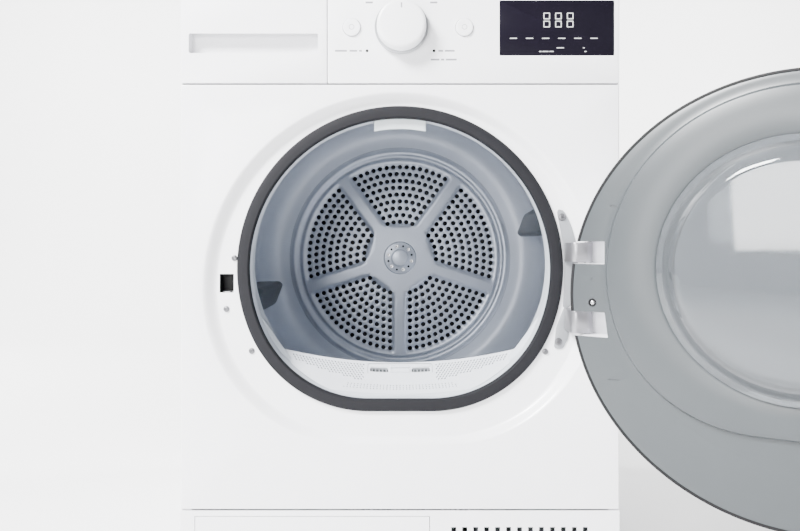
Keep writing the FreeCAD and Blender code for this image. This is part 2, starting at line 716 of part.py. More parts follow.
def control_fascia():
    x0 = DRAWER_RIGHT + GAP
    skin = box(x0, HALF_W, FRONT, FRONT + 4, FASCIA_BOTTOM, TOP_UNDERSIDE)
    carrier = box(x0, HALF_W - 2, FRONT + 3, FRONT + 30, FASCIA_BOTTOM, TOP_UNDERSIDE - 1)
    carrier = carrier.cut(box(x0 + 3, HALF_W - 5, FRONT + 4, FRONT + 31, FASCIA_BOTTOM + 3,
                              TOP_UNDERSIDE - 4))
    body = fused([skin, carrier])
    body = body.cut(rod_y(KNOB_X, KNOB_Z, 7, FRONT - 1, FRONT + 5))
    for x in (POWER_X, START_X):
        body = body.cut(rod_y(x, BUTTON_Z, BUTTON_R + 0.6, FRONT - 1, FRONT + 5))
    x0, x1, z0, z1 = DISPLAY
    body = body.cut(box(x0, x1, FRONT - 1, FRONT + 2.5, z0, z1))
    return body.cut(box(x0 + 5, x1 - 5, FRONT - 1, FRONT + 5, z0 + 5, z1 - 5))


def display_window():
    x0, x1, z0, z1 = DISPLAY
    return box(x0 + 0.1, x1 - 0.1, FRONT - 0.5, FRONT + 2.5, z0 + 0.1, z1 - 0.1)


def program_knob():
    body = turned([(0, FRONT - 24), (KNOB_R - 5, FRONT - 24), (KNOB_R - 2, FRONT - 21),
                   (KNOB_R, FRONT - 5), (KNOB_R, FRONT - 0.6), (0, FRONT - 0.6)], KNOB_Z, KNOB_X)
    stem = rod_y(KNOB_X, KNOB_Z, 3, FRONT - 1, FRONT + 12)
    return fused([body, stem])


def push_button(x):
    cap = rod_y(x, BUTTON_Z, BUTTON_R, FRONT - 3, FRONT + 6)
    cap = cap.makeFillet(1.2, [e for e in cap.Edges if e.BoundBox.YMax < FRONT - 2.9])
    flange = rod_y(x, BUTTON_Z, BUTTON_R + 2, FRONT + 4.4, FRONT + 6)
    return fused([cap, flange])


# ------------------------------------------------------------------ condensate tank

TANK = (-288.0, -110.0, 741.0, 815.0)
TANK_BACK = 190.0


def tank_front():
    face = box(-HALF_W, DRAWER_RIGHT, FRONT, FRONT + 4, FASCIA_BOTTOM, TOP_UNDERSIDE - 0.6)
    core = box(-293, -105, FRONT + 3, FRONT + 22, FASCIA_BOTTOM + 4, TOP_UNDERSIDE - 4)
    pocket = box(-289, -112, FRONT - 1, FRONT + 18, 740, 790)
    lip = box(-289, -112, FRONT, FRONT + 3, 767, 791)
    return fused([face, core]).cut(pocket).fuse(lip).removeSplitter()


def tank_box():
    x0, x1, z0, z1 = TANK
    shell = box(x0, x1, FRONT + 22, TANK_BACK, z0, z1)
    hollow = box(x0 + 2.5, x1 - 2.5, FRONT + 25, TANK_BACK - 2.5, z0 + 2.5, z1 - 2.5)
    filler = rod_z(-200, 150, 14, z1 - 3, z1 + 1)
    spout = rod_z(-200, -235, 12, z1 - 3, z1 + 1)
    return shell.cut(hollow).cut(filler).cut(spout)


def tank_sleeve():
    x0, x1, z0, z1 = TANK
    outer = box(x0 - 4, x1 + 4, FRONT + 26, TANK_BACK + 12, z0 - 4, z1 + 5)
    inner = box(x0 - 1, x1 + 1, FRONT + 20, TANK_BACK + 9, z0 - 1, z1 + 10)
    return outer.cut(inner)


# ------------------------------------------------------------------ door

def hinge_bracket():
    arc = turned([(226.5, FLOOR_Y - 2), (247, FLOOR_Y - 2), (247, FLOOR_Y), (226.5, FLOOR_Y)], 444.4)
    keep = prism_y([(150, 352), (300, 330), (300, 524), (150, 524)], -320, -280)
    upper = arc.common(keep).cut(outline_block(grown(SEAL_OUT, 0.4), -300, -280))
    lower = box(209, 232, FLOOR_Y - 2, FLOOR_Y, 331, 392)
    lower = lower.cut(outline_block(grown(SEAL_OUT, 0.4), -300, -280))
    inside = outline_block(grown(DISH_IN, -1), -300, -280)
    return fused([upper, lower]).common(inside)


def hinge_arms():
    arms = []
    for z, height in ARMS:
        z0 = z - height / 2
        z1 = z + height / 2
        knuckle = rod_z(HINGE_X, HINGE_Y, 8, z0, z1)
        strap = prism_z([(HINGE_X + 1, HINGE_Y - 7.9), (HINGE_X - 17, HINGE_Y - 6.4),
                         (HINGE_X - 21.5, HINGE_Y - 2.5),
                         (HINGE_X - 22.5, FRONT - 8), (227, FLOOR_Y - 6), (227, FLOOR_Y - 2),
                         (234, FLOOR_Y - 2), (231, FRONT - 4), (230, FRONT - 21), (HINGE_X - 7,
                                                                                   HINGE_Y + 4)],
                        z0, z1)
        foot = box(227, 241, FLOOR_Y - 5, FLOOR_Y - 2, z0, z1)
        arm = fused([knuckle, strap, foot])
        arms.append(arm.cut(rod_z(HINGE_X, HINGE_Y, PIN_R + RUNNING_GAP, z0 - 1, z1 + 1)))
    return Part.makeCompound(arms)


def hinge_pins():
    pins = []
    for z, height in ARMS:
        inward = math.copysign(1, (ARMS[0][0] + ARMS[1][0]) / 2 - z)
        ends = sorted((z + inward * (height / 2 + 9), z - inward * (height / 2 + 0.8)))
        pins.append(rod_z(HINGE_X, HINGE_Y, PIN_R, *ends))
    return swung(Part.makeCompound(pins))


def arm_pockets():
    pockets = []
    for z, height in ARMS:
        reach = height / 2 + 1.5
        pockets.append(box(POCKET_LEFT, 270, POCKET_FRONT, FRONT, z - reach, z + reach))
    return fused(pockets)


def hinge_block():
    body = box(214, 270, POCKET_FRONT - 0.8, DOOR_BACK_Y - 4, 348, 496)
    body = body.common(rod_y(0, DOOR_Z, DOOR_R - 5.6, -360, -290))
    body = body.cut(arm_pockets())
    return swung(body.cut(rod_z(HINGE_X, HINGE_Y, PIN_R + 0.1, 300, 540)))


def door_frame():
    ring = turned([(DOOR_WINDOW_R, DOOR_FRONT_Y + 5), (DOOR_R - 26, DOOR_FRONT_Y),
                   (DOOR_R - 8, DOOR_FRONT_Y),
                   (DOOR_R - 2, DOOR_FRONT_Y + 3), (DOOR_R, DOOR_FRONT_Y + 9), (DOOR_R, DOOR_BACK_Y - 4),
                   (DOOR_R - 3.5, DOOR_BACK_Y - 4), (DOOR_R - 3.5, DOOR_FRONT_Y + 5.3),
                   (DOOR_R - 26, DOOR_FRONT_Y + 3), (DOOR_WINDOW_R, DOOR_FRONT_Y + 8)], DOOR_Z)
    return swung(ring.cut(arm_pockets()))


def door_trim():
    ring = ring_y(0, DOOR_Z, DOOR_R, DOOR_R - 3.5, DOOR_BACK_Y - 4, DOOR_BACK_Y)
    return swung(ring.cut(arm_pockets()))


def door_window():
    pane = turned([(0, DOOR_FRONT_Y + 1), (110, DOOR_FRONT_Y + 2), (DOOR_WINDOW_R - 0.3, DOOR_FRONT_Y + 6),
                   (DOOR_WINDOW_R - 0.3, DOOR_FRONT_Y + 9.5), (110, DOOR_FRONT_Y + 5.5), (0,
                                                                                          DOOR_FRONT_Y + 4.5)],
                  DOOR_Z)
    return swung(pane)


STEP = grown(SEAL_IN, 4.0)
BOWL_Z = 450.0
BOWL_R = 152.0
BOWL_BACK = -257.0


def door_liner():
    plate = rod_y(0, DOOR_Z, DOOR_R - 3.7, DOOR_BACK_Y - 4, DOOR_BACK_Y)
    step = outline_loft(grown(STEP, 3), DOOR_BACK_Y - 1, STEP, FLOOR_Y - 6.5)
    under = outline_block(grown(STEP, -3), DOOR_BACK_Y - 5, FLOOR_Y - 9.5)
    hole = rod_y(0, BOWL_Z, BOWL_R + 0.3, -330, -280)
    wall = ring_y(0, DOOR_Z, DOOR_WINDOW_R - 6, DOOR_WINDOW_R - 9, DOOR_FRONT_Y + 10, DOOR_BACK_Y - 3)
    body = plate.fuse(step).cut(under).fuse(wall).cut(arm_pockets())
    return swung(body.cut(hole))


def door_bowl():
    glass = turned([(BOWL_R, FLOOR_Y - 9.3), (BOWL_R, FLOOR_Y - 6.3), (BOWL_R - 8, FLOOR_Y - 2),
                    (BOWL_R - 22, -262),
                    (BOWL_R - 32, BOWL_BACK), (0, BOWL_BACK), (0, BOWL_BACK - 4), (BOWL_R - 34,
                                                                                   BOWL_BACK - 4),
                    (BOWL_R - 26, -266), (BOWL_R - 12, FLOOR_Y - 3), (BOWL_R - 12, FLOOR_Y - 9.3)], BOWL_Z)
    return swung(glass)


HOOK_X = -239.5
HOOK_Z = 425.0


def door_hook():
    stem = box(HOOK_X - 4, HOOK_X + 4, DOOR_BACK_Y - 2, -276, HOOK_Z - 5, HOOK_Z + 5)
    notch = box(HOOK_X - 5, HOOK_X + 5, -284, -279, HOOK_Z - 6, HOOK_Z - 1)
    stem = stem.cut(notch).cut(box(HOOK_X - 9, HOOK_X + 9, DOOR_BACK_Y - 3, DOOR_BACK_Y, HOOK_Z - 9,
                                   HOOK_Z + 9))
    return swung(fused([stem, box(HOOK_X - 7, HOOK_X + 7, DOOR_BACK_Y, DOOR_BACK_Y + 2, HOOK_Z - 9,
                                  HOOK_Z + 9)]))


NODES = {
    "base_tray": base_tray,
    "levelling_feet": levelling_feet,
    "side_panel_left": lambda: side_panel(-1),
    "side_panel_right": lambda: side_panel(1),
    "rear_panel": rear_panel,
    "worktop": worktop,
    "front_panel": front_panel,
    "panel_screws": panel_screws,
    "kick_panel": kick_panel,
    "service_flap": service_flap,
    "door_seal": door_seal,
    "front_duct": front_duct,
    "lamp_lens": lamp_lens,
    "filter_duct": filter_duct,
    "lint_filter": lint_filter,
    "filter_mesh": filter_mesh,
    "latch_housing": latch_housing,
    "latch_catch": latch_catch,
    "drum_shell": drum_shell,
    "drum_back": drum_back,
    "drum_hub": drum_hub,
    "hub_bolts": hub_bolts,
    "drum_lifters": drum_lifters,
    "support_roller_left": lambda: support_roller(-1),
    "support_roller_right": lambda: support_roller(1),
    "rear_duct": rear_duct,
    "rear_bearing": rear_bearing,
    "blower_housing": blower_housing,
    "blower_wheel": blower_wheel,
    "motor_body": motor_body,
    "motor_rotor": motor_rotor,
    "drive_belt": drive_belt,
    "idler_pulley": idler_pulley,
    "idler_arm": idler_arm,
    "compressor": compressor,
    "evaporator": lambda: finned_block(-180, -110),
    "condenser": lambda: finned_block(-90, -12),
    "refrigerant_pipes": refrigerant_pipes,
    "drain_pump": drain_pump,
    "drain_spigot": drain_spigot,
    "mains_inlet": mains_inlet,
    "power_board": power_board,
    "control_fascia": control_fascia,
    "display_window": display_window,
    "program_knob": program_knob,
    "power_button": lambda: push_button(POWER_X),
    "start_button": lambda: push_button(START_X),
    "tank_front": tank_front,
    "tank_box": tank_box,
    "tank_sleeve": tank_sleeve,
    "hinge_bracket": hinge_bracket,
    "hinge_arms": hinge_arms,
    "hinge_pins": hinge_pins,
    "hinge_block": hinge_block,
    "door_frame": door_frame,
    "door_trim": door_trim,
    "door_window": door_window,
    "door_liner": door_liner,
    "door_bowl": door_bowl,
    "door_hook": door_hook,
}

for name, make in NODES.items():
    make().exportStep(f"parts/{name}.step")
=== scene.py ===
import json
import math

import bmesh
import bpy
from mathutils import Matrix, Vector
from mathutils.geometry import delaunay_2d_cdt


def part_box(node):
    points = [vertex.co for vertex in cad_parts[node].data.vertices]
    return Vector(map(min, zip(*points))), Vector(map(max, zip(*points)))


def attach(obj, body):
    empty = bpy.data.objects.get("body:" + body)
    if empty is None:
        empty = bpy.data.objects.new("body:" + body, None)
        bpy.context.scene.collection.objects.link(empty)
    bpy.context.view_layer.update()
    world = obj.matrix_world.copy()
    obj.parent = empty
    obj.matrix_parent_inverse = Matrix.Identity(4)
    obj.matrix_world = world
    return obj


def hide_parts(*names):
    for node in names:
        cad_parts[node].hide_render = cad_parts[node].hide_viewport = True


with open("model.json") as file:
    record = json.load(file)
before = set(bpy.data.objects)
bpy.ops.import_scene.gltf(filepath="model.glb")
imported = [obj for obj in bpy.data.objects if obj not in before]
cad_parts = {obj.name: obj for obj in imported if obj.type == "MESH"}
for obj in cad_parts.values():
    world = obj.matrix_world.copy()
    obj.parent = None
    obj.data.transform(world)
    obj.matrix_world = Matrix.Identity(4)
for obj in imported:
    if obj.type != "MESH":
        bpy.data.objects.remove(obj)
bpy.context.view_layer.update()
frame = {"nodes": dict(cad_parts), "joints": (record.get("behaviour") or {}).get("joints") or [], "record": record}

# Front-loading dryer: metres, X right, -Y out of the front, Z up from the floor.

TAU = 2 * math.pi


def low(node):
    return Vector(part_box(node)[0])


def high(node):
    return Vector(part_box(node)[1])


JOINTS = {joint["name"]: joint for joint in frame["joints"]}
FRONT = low("worktop").y
FLOOR_Y = FRONT + 0.012
HALF_W = high("worktop").x
DRUM_Z = JOINTS["drum_spin"]["pos_m"][2]
HINGE = Vector(JOINTS["door_hinge"]["pos_m"])
DOOR_Z = HINGE.z
OPEN = math.radians(-JOINTS["door_hinge"]["range_deg"][0])
KNOB = Vector(JOINTS["knob_turn"]["pos_m"])
SLOT_OF = {part["node"]: part["material_slot"] for part in frame["record"]["subparts"]}

# Outlines, round on top and flat below: (top radius, centre height, corner radius, height of the flat).
SEAL_OUT = (0.225, 0.4444, 0.178, 0.248)
SEAL_IN = (0.208, 0.4444, 0.161, 0.265)
NECK_OUT = (0.216, 0.4444, 0.169, 0.257)
DISH_OUT = (0.276, 0.415, 0.210, 0.202)
DISH_IN = (0.252, 0.421, 0.196, 0.2134)
DUCT_MOUTH = (0.209, 0.4444, 0.162, 0.264)
DUCT_END = (0.2175, 0.4485, 0.199, 0.233)
DUCT_FRONT_Y = -0.2632
DUCT_BEND_Y = -0.216
OPENING_Z = SEAL_OUT[1]
# Height of the point that the front panel's and the door liner's rings are drawn round.
RAY_Z = 0.43


# ---- materials

def add_node(tree, kind, **values):
    node = tree.nodes.new("ShaderNode" + kind)
    for name, value in values.items():
        node.inputs[name.replace("_", " ")].default_value = value
    return node


def finish(name, color, roughness, metallic=0.0, shade=0.04, shade_scale=30.0, rough_swing=0.08, bump=0.02,
           bump_scale=400.0, stretch=(1, 1, 1), around=None, **sockets):
    """Principled surface with a little variation of colour and gloss, and a fine relief.
    around=(x, z) lays the relief in circles about a line along Y, like spun metal."""
    mat = bpy.data.materials.new(name)
    mat.use_nodes = True
    tree = mat.node_tree
    shader = tree.nodes["Principled BSDF"]
    shader.inputs["Metallic"].default_value = metallic
    for socket, value in sockets.items():
        shader.inputs[socket.replace("_", " ")].default_value = value
    place = add_node(tree, "TexCoord").outputs["Object"]
    mapping = add_node(tree, "Mapping", Scale=stretch)
    cloud = add_node(tree, "TexNoise", Scale=shade_scale, Detail=4)
    grain = add_node(tree, "TexNoise", Scale=bump_scale, Detail=2)
    gloss = add_node(tree, "MapRange", To_Min=max(roughness - rough_swing / 2, 0.01),
                     To_Max=roughness + rough_swing / 2)
    relief = add_node(tree, "Bump", Strength=bump, Distance=RELIEF_DEPTH)
    ramp = add_node(tree, "ValToRGB")
    for element, position, swing in zip(ramp.color_ramp.elements, (0.3, 0.7), (-shade, shade)):
        element.position = position
        element.color = [min(max(c * (1 + swing), 0), 1) for c in color] + [1]
    for source, target in ((circling(tree, place, around) if around else place, mapping.inputs["Vector"]),
                           (place, cloud.inputs["Vector"]), (mapping.outputs["Vector"],
            grain.inputs["Vector"]), (cloud.outputs["Fac"], ramp.inputs["Fac"]),
                           (ramp.outputs["Color"], shader.inputs["Base Color"]),
                           (grain.outputs["Fac"], gloss.inputs["Value"]),
                           (gloss.outputs["Result"], shader.inputs["Roughness"]),
                           (grain.outputs["Fac"], relief.inputs["Height"]),
                           (relief.outputs["Normal"], shader.inputs["Normal"])):
        tree.links.new(source, target)
    return mat


def circling(tree, place, centre):
    """Coordinates (radius, y, angle) about a line along Y."""
    shift = add_node(tree, "VectorMath")
    shift.operation = "SUBTRACT"
    shift.inputs[1].default_value = (centre[0], 0, centre[1])
    length = add_node(tree, "VectorMath")
    length.operation = "LENGTH"
    angle = add_node(tree, "Math")
    angle.operation = "ARCTAN2"
    turn = add_node(tree, "Math")
    turn.operation = "MULTIPLY"
    turn.inputs[1].default_value = 0.02
    split = add_node(tree, "SeparateXYZ")
    square = add_node(tree, "CombineXYZ")
    spun = add_node(tree, "CombineXYZ")
    for source, target in ((place, shift.inputs[0]), (shift.outputs[0], split.inputs[0]),
                           (split.outputs["X"], square.inputs["X"]), (split.outputs["Z"], square.inputs["Z"]),
                           (square.outputs[0], length.inputs[0]), (split.outputs["Z"], angle.inputs[0]),
                           (split.outputs["X"], angle.inputs[1]), (angle.outputs[0], turn.inputs[0]),
                           (length.outputs["Value"], spun.inputs["X"]),
                           (split.outputs["Y"], spun.inputs["Y"]), (turn.outputs[0], spun.inputs["Z"])):
        tree.links.new(source, target)
    return spun.outputs[0]


RELIEF_DEPTH = 0.0002
DRUM_AXIS = (0.0, DRUM_Z)
MATERIALS = {
    "painted_white": finish("enamel", (0.86, 0.86, 0.885), 0.32, shade=0.008, bump=0.05, bump_scale=260,
                            Coat_Weight=0.25, Coat_Roughness=0.12),
    "worktop_white": finish("laminate", (0.86, 0.86, 0.88), 0.45, shade=0.012, bump=0.25, bump_scale=900),
    "plastic_white": finish("white_plastic", (0.86, 0.86, 0.885), 0.3, shade=0.008,
                            bump=0.04, bump_scale=500),
    "galvanised_steel": finish("galvanised", (0.52, 0.54, 0.56), 0.42, 0.85, shade=0.10, shade_scale=70,
                               rough_swing=0.2),
    "drum_steel": finish("drum_steel", (0.36, 0.39, 0.45), 0.35, 0.45, shade=0.03, rough_swing=0.10,
                         bump=0.10, bump_scale=700, around=DRUM_AXIS),
    # The drum's wall: a lighter, less metallic copy of the drum steel, painted light for the inside of the drum.
    "drum_wall": finish("drum_wall", (0.45, 0.485, 0.55), 0.40, 0.15, shade=0.02, rough_swing=0.10, bump=0.08,
                        bump_scale=500, around=DRUM_AXIS),
    "screw_steel": finish("screw_steel", (0.16, 0.16, 0.17), 0.34, 0.8, shade=0.06, bump_scale=900),
    "bright_steel": finish("bright_steel", (0.66, 0.66, 0.68), 0.28, 0.95, shade=0.06, bump_scale=900),
    "hinge_metal": finish("hinge_silver", (0.27, 0.268, 0.285), 0.32, 0.7, shade=0.03, bump=0.08,
                          bump_scale=300, stretch=(1, 1, 12)),
    "seal_rubber": finish("seal_rubber", (0.009, 0.009, 0.011), 0.62, shade=0.06, bump=0.25, bump_scale=900,
                          Specular_IOR_Level=0.15),
    "black_plastic": finish("black_plastic", (0.008, 0.008, 0.009), 0.50, shade=0.1, bump=0.2, bump_scale=900,
                            Specular_IOR_Level=0.2),
    "duct_grey": finish("grey_plastic", (0.42, 0.45, 0.48), 0.42, shade=0.02, bump=0.12, bump_scale=800),
    "filter_white": finish("filter_plastic", (0.56, 0.58, 0.62), 0.42, shade=0.015,
                           bump=0.10, bump_scale=700),
    "filter_gauze": finish("gauze", (0.70, 0.70, 0.68), 0.7, shade=0.03, bump=0.8, bump_scale=1500),
    "lifter_charcoal": finish("charcoal_plastic", (0.030, 0.036, 0.043), 0.38, shade=0.06,
                              bump=0.2, bump_scale=900),
    "lamp_lens": finish("frosted_lens", (0.78, 0.84, 0.87), 0.35, shade=0.02, bump=0.15, bump_scale=250,
                        Transmission_Weight=0.35, IOR=1.49),
    "tank_clear": finish("tank_moulding", (0.66, 0.69, 0.71), 0.4, shade=0.03, bump=0.1, bump_scale=600,
                         Transmission_Weight=0.2),
    "door_glass": finish("smoked_glass", (0.30, 0.32, 0.34), 0.05, shade=0.01, rough_swing=0.02, bump=0.01,
                         bump_scale=40, Transmission_Weight=0.85, IOR=1.5),
    "display_black": finish("display_glass", (0.006, 0.005, 0.009), 0.22, shade=0.05, rough_swing=0.03,
                            bump=0.01, Specular_IOR_Level=0.06),
    "latch_metal": finish("plated_steel", (0.45, 0.45, 0.46), 0.35, 0.9, shade=0.06),
    "motor_metal": finish("lamination_stack", (0.20, 0.21, 0.22), 0.5, 0.7, shade=0.1, bump=0.6,
                          bump_scale=300, stretch=(0.1, 6, 0.1)),
    "compressor_black": finish("satin_black_paint", (0.012, 0.012, 0.013), 0.4, shade=0.1, bump=0.2),
    "fin_aluminium": finish("fin_stock", (0.62, 0.64, 0.66), 0.35, 0.9, shade=0.05, bump=0.3),
    "copper": finish("copper_tube", (0.60, 0.26, 0.14), 0.3, 0.95, shade=0.15, shade_scale=60),
    "board_case": finish("board_case", (0.62, 0.62, 0.60), 0.5, shade=0.04, bump=0.2),
    "label_grey": finish("print_grey", (0.22, 0.22, 0.24), 0.5, shade=0.05),
    "knob_rim": finish("knob_rim", (0.40, 0.41, 0.43), 0.3, 0.6, shade=0.03),
    "gloss_liner": finish("liner_grey", (0.050, 0.057, 0.062), 0.36, shade=0.02, bump=0.08, bump_scale=700),
    "bare_steel_bright": finish("pocket_white", (0.90, 0.90, 0.93), 0.35, 0.0, shade=0.02),
    # Front duct ring: a lighter copy of the duct grey, painted light on a ring that lies in shade.
    "duct_light": finish("duct_light", (0.50, 0.535, 0.58), 0.36, shade=0.02, bump=0.06, bump_scale=500),
    # Near-black floors of the lint filter's finger windows: painted shade in the recesses.
    "grip_grey": finish("grip_grey", (0.055, 0.06, 0.065), 0.5, shade=0.05, bump=0.15),
    "hinge_plate": finish("hinge_plate", (0.26, 0.27, 0.285), 0.42, 0.3, shade=0.03, bump=0.05),
    "display_print": finish("display_print", (0.45, 0.46, 0.46), 0.5, shade=0.02),
}


# ---- mesh tools

def facing_out(name, verts, faces, merge=0.0):
    """Mesh with its normals outwards, and points closer than merge made one."""
    mesh = bpy.data.meshes.new(name)
    mesh.from_pydata([tuple(v) for v in verts], [], faces)
    bm = bmesh.new()
    bm.from_mesh(mesh)
    if merge:
        bmesh.ops.remove_doubles(bm, verts=bm.verts, dist=merge)
    bmesh.ops.recalc_face_normals(bm, faces=bm.faces)
    bm.to_mesh(mesh)
    bm.free()
    return mesh


def placed(name, data):
    obj = bpy.data.objects.new(name, data)
    bpy.context.scene.collection.objects.link(obj)
    return obj


def piece(name, verts, faces, material, slot, body, smooth=30.0):
    obj = placed(name, facing_out(name, verts, faces, 1e-6))
    obj.data.materials.append(MATERIALS[material])
    soften(obj, smooth)
    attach(obj, body)
    return obj


def soften(obj, degrees):
    obj.data.polygons.foreach_set("use_smooth", [True] * len(obj.data.polygons))
    obj.data.set_sharp_from_angle(angle=math.radians(degrees))


def rings_mesh(rings, closed_ends=(False, False), loop=False):
    """Quads between rings that have the same number of points."""
    count = len(rings[0])
    verts = [point for ring in rings for point in ring]
    faces = []
    pairs = list(zip(range(len(rings)), range(1, len(rings))))
    if loop:
        pairs.append((len(rings) - 1, 0))
    for a, b in pairs:
        for k in range(count):
            n = (k + 1) % count
            faces.append((a * count + k, a * count + n, b * count + n, b * count + k))
    if closed_ends[0]:
        faces.append(tuple(range(count)))
    if closed_ends[1]:
        faces.append(tuple((len(rings) - 1) * count + k for k in reversed(range(count))))
    return verts, faces


def grown(outline, d):
    top_r, z, corner_r, flat = outline
    return (top_r + d, z, corner_r + d, flat - d)


def between(a, b, t):
    return tuple(p + (q - p) * t for p, q in zip(a, b))


def soft_step(t):
    """From 0 to 1, level at both ends."""
    t = min(max(t, 0), 1)
    return t * t * (3 - 2 * t)


def furthest(near, far, fits):
    """The largest value from near to far that fits, by halving."""
    for _ in range(30):
        middle = (near + far) / 2
        if fits(middle):
            near = middle
        else:
            far = middle
    return near


def outline_parts(outline):
    top_r, z, corner_r, flat = outline
    corner_z = flat + corner_r
    corner_x = math.sqrt(max((top_r - corner_r) ** 2 - (z - corner_z) ** 2, 0))
    return corner_x, corner_z, math.atan2(corner_z - z, corner_x)


def outline_ring(outline, y, top=128, corner=48, bottom=12):
    """Points along the outline, clockwise seen from the front, arc by arc."""
    top_r, z, corner_r, flat = outline
    corner_x, corner_z, away = outline_parts(outline)
    points = []
    for k in range(top):
        angle = math.pi - away + (2 * away - math.pi) * k / top
        points.append((top_r * math.cos(angle), y, z + top_r * math.sin(angle)))
    for k in range(corner):
        angle = away + (-math.pi / 2 - away) * k / corner
        points.append((corner_x + corner_r * math.cos(angle), y, corner_z + corner_r * math.sin(angle)))
    for k in range(bottom):
        points.append((corner_x - 2 * corner_x * k / bottom, y, flat))
    for k in range(corner):
        angle = -math.pi / 2 - (math.pi / 2 + away) * k / corner
        points.append((-corner_x + corner_r * math.cos(angle), y, corner_z + corner_r * math.sin(angle)))
    return points


def swept(outline, profile):
    """Closed section (offset, y) carried round an outline."""
    return rings_mesh([outline_ring(grown(outline, d), y) for d, y in profile], loop=True)


def flat_circle(x, z, r, count):
    return [(x + r * math.cos(TAU * k / count), z + r * math.sin(TAU * k / count)) for k in range(count)]


def circle(x, z, r, y, count=160):
    return [(a, y, b) for a, b in flat_circle(x, z, r, count)]


def lathe(x, z, profile, count=160, loop=False):
    """Profile (radius, y) spun about a line along Y; a first or last radius of 0 is a closed end."""
    ends = (profile[0][0] == 0, profile[-1][0] == 0)
    core = profile[1 if ends[0] else 0:len(profile) - 1 if ends[1] else len(profile)]
    verts, faces = rings_mesh([circle(x, z, r, y, count) for r, y in core], loop=loop)
    for end, (r, y), start in ((ends[0], profile[0], 0), (ends[1], profile[-1], (len(core) - 1) * count)):
        if end:
            verts.append((x, y, z))
            tip = len(verts) - 1
            faces += [(start + k, start + (k + 1) % count, tip) for k in range(count)]
    return verts, faces


def rounded(points, radius, steps=4):
    """2-D polyline, closed, with each corner turned into an arc-like curve."""
    out = []
    count = len(points)
    for k, point in enumerate(points):
        before = Vector(points[k - 1])
        here = Vector(point)
        after = Vector(points[(k + 1) % count])
        cut = min(radius, (before - here).length * 0.45, (after - here).length * 0.45)
        a = here + (before - here).normalized() * cut
        b = here + (after - here).normalized() * cut
        for s in range(steps + 1):
            t = s / steps
            out.append(tuple(a * (1 - t) ** 2 + here * (2 * t * (1 - t)) + b * t * t))
    return out


def rect(x0, z0, x1, z1, radius, steps=4):
    """Rectangle with rounded corners."""
    return rounded([(x0, z0), (x1, z0), (x1, z1), (x0, z1)], radius, steps)


def moved(base, points):
    """Points whose second value counts from base."""
    return [(a, base + b) for a, b in points]


def slab(points, axis, start, end, edge=0.0):
    """Straight bar of a 2-D outline along an axis, with small chamfers at both ends."""
    place = {"x": lambda p, h: (h, p[0], p[1]), "y": lambda p, h: (p[0], h, p[1]), "z": lambda p,
             h: (p[0], p[1], h), }[axis]
    middle = sum((Vector(p) for p in points), Vector((0, 0))) / len(points)

    def ring(shrink, height):
        return [place(Vector(p) - (Vector(p) - middle).normalized() * shrink, height) for p in points]

    rings = [ring(edge, start), ring(edge * 0.3, start + edge * 0.3), ring(0, start + edge)]
    rings += [ring(0, end - edge), ring(edge * 0.3, end - edge * 0.3), ring(edge, end)]
    if not edge:
        rings = [rings[0], rings[-1]]
    return rings_mesh(rings, (True, True))


def box_mesh(a, b, edge=0.0008):
    outline = rect(a[0], a[2], b[0], b[2], edge * 1.5, 3)
    return slab(outline, "y", a[1], b[1], edge)


def joined(*meshes):
    verts = []
    faces = []
    for more_verts, more_faces in meshes:
        base = len(verts)
        verts += [tuple(v) for v in more_verts]
        faces += [tuple(i + base for i in face) for face in more_faces]
    return verts, faces


def turned_about(mesh, centre, axis, degrees):
    matrix = (Matrix.Translation(centre) @ Matrix.Rotation(math.radians(degrees), 4,
            axis) @ Matrix.Translation(-Vector(centre)))
    verts, faces = mesh
    return [tuple(matrix @ Vector(v)) for v in verts], faces


def opened(mesh):
    """A door piece, from closed to where it stands open."""
    return turned_about(mesh, HINGE, "Z", math.degrees(OPEN))


def carve(obj, *cutters):
    """Cuts closed meshes out of a piece for good."""
    for verts, faces in cutters:
        tool = placed("cutter", facing_out("cutter", verts, faces))
        cut = obj.modifiers.new("cut", "BOOLEAN")
        cut.object = tool
        cut.solver = "EXACT"
        result = bpy.data.meshes.new_from_object(obj.evaluated_get(bpy.context.evaluated_depsgraph_get()))
        obj.modifiers.clear()
        obj.data = result
        bpy.data.objects.remove(tool)
    soften(obj, 30)
    return obj


# ---- front panel

PANEL_HEIGHT = 0.583


def inside_outline(outline, x, z):
    top_r, top_z, corner_r, flat = outline
    corner_x, corner_z, away = outline_parts(outline)
    if z < flat or math.hypot(x, z - top_z) > top_r:
        return False
    px = abs(x) - corner_x
    pz = z - corner_z
    if px > 0 and math.atan2(pz, px) < away:
        return math.hypot(px, pz) <= corner_r
    return True


def reach(outline, centre_z, angle):
    """Distance from (0, centre_z) to the outline in one direction."""
    def inside(r):
        return inside_outline(outline, r * math.cos(angle), centre_z + r * math.sin(angle))

    return furthest(0.0, 0.5, inside)


def on_ray(r, y, angle):
    return (r * math.cos(angle), y, RAY_Z + r * math.sin(angle))


def ray_ring(outline, y, angles):
    return [on_ray(reach(outline, RAY_Z, a), y, a) for a in angles]


def border_ring(x_half, z_low, z_high, y, angles):
    points = []
    for a in angles:
        c, s = math.cos(a), math.sin(a)
        across = x_half / abs(c) if abs(c) > 1e-9 else 9.0
        up = ((z_high if s > 0 else z_low) - RAY_Z) / s if abs(s) > 1e-9 else 9.0
        points.append(on_ray(min(across, up), y, a))
    return points


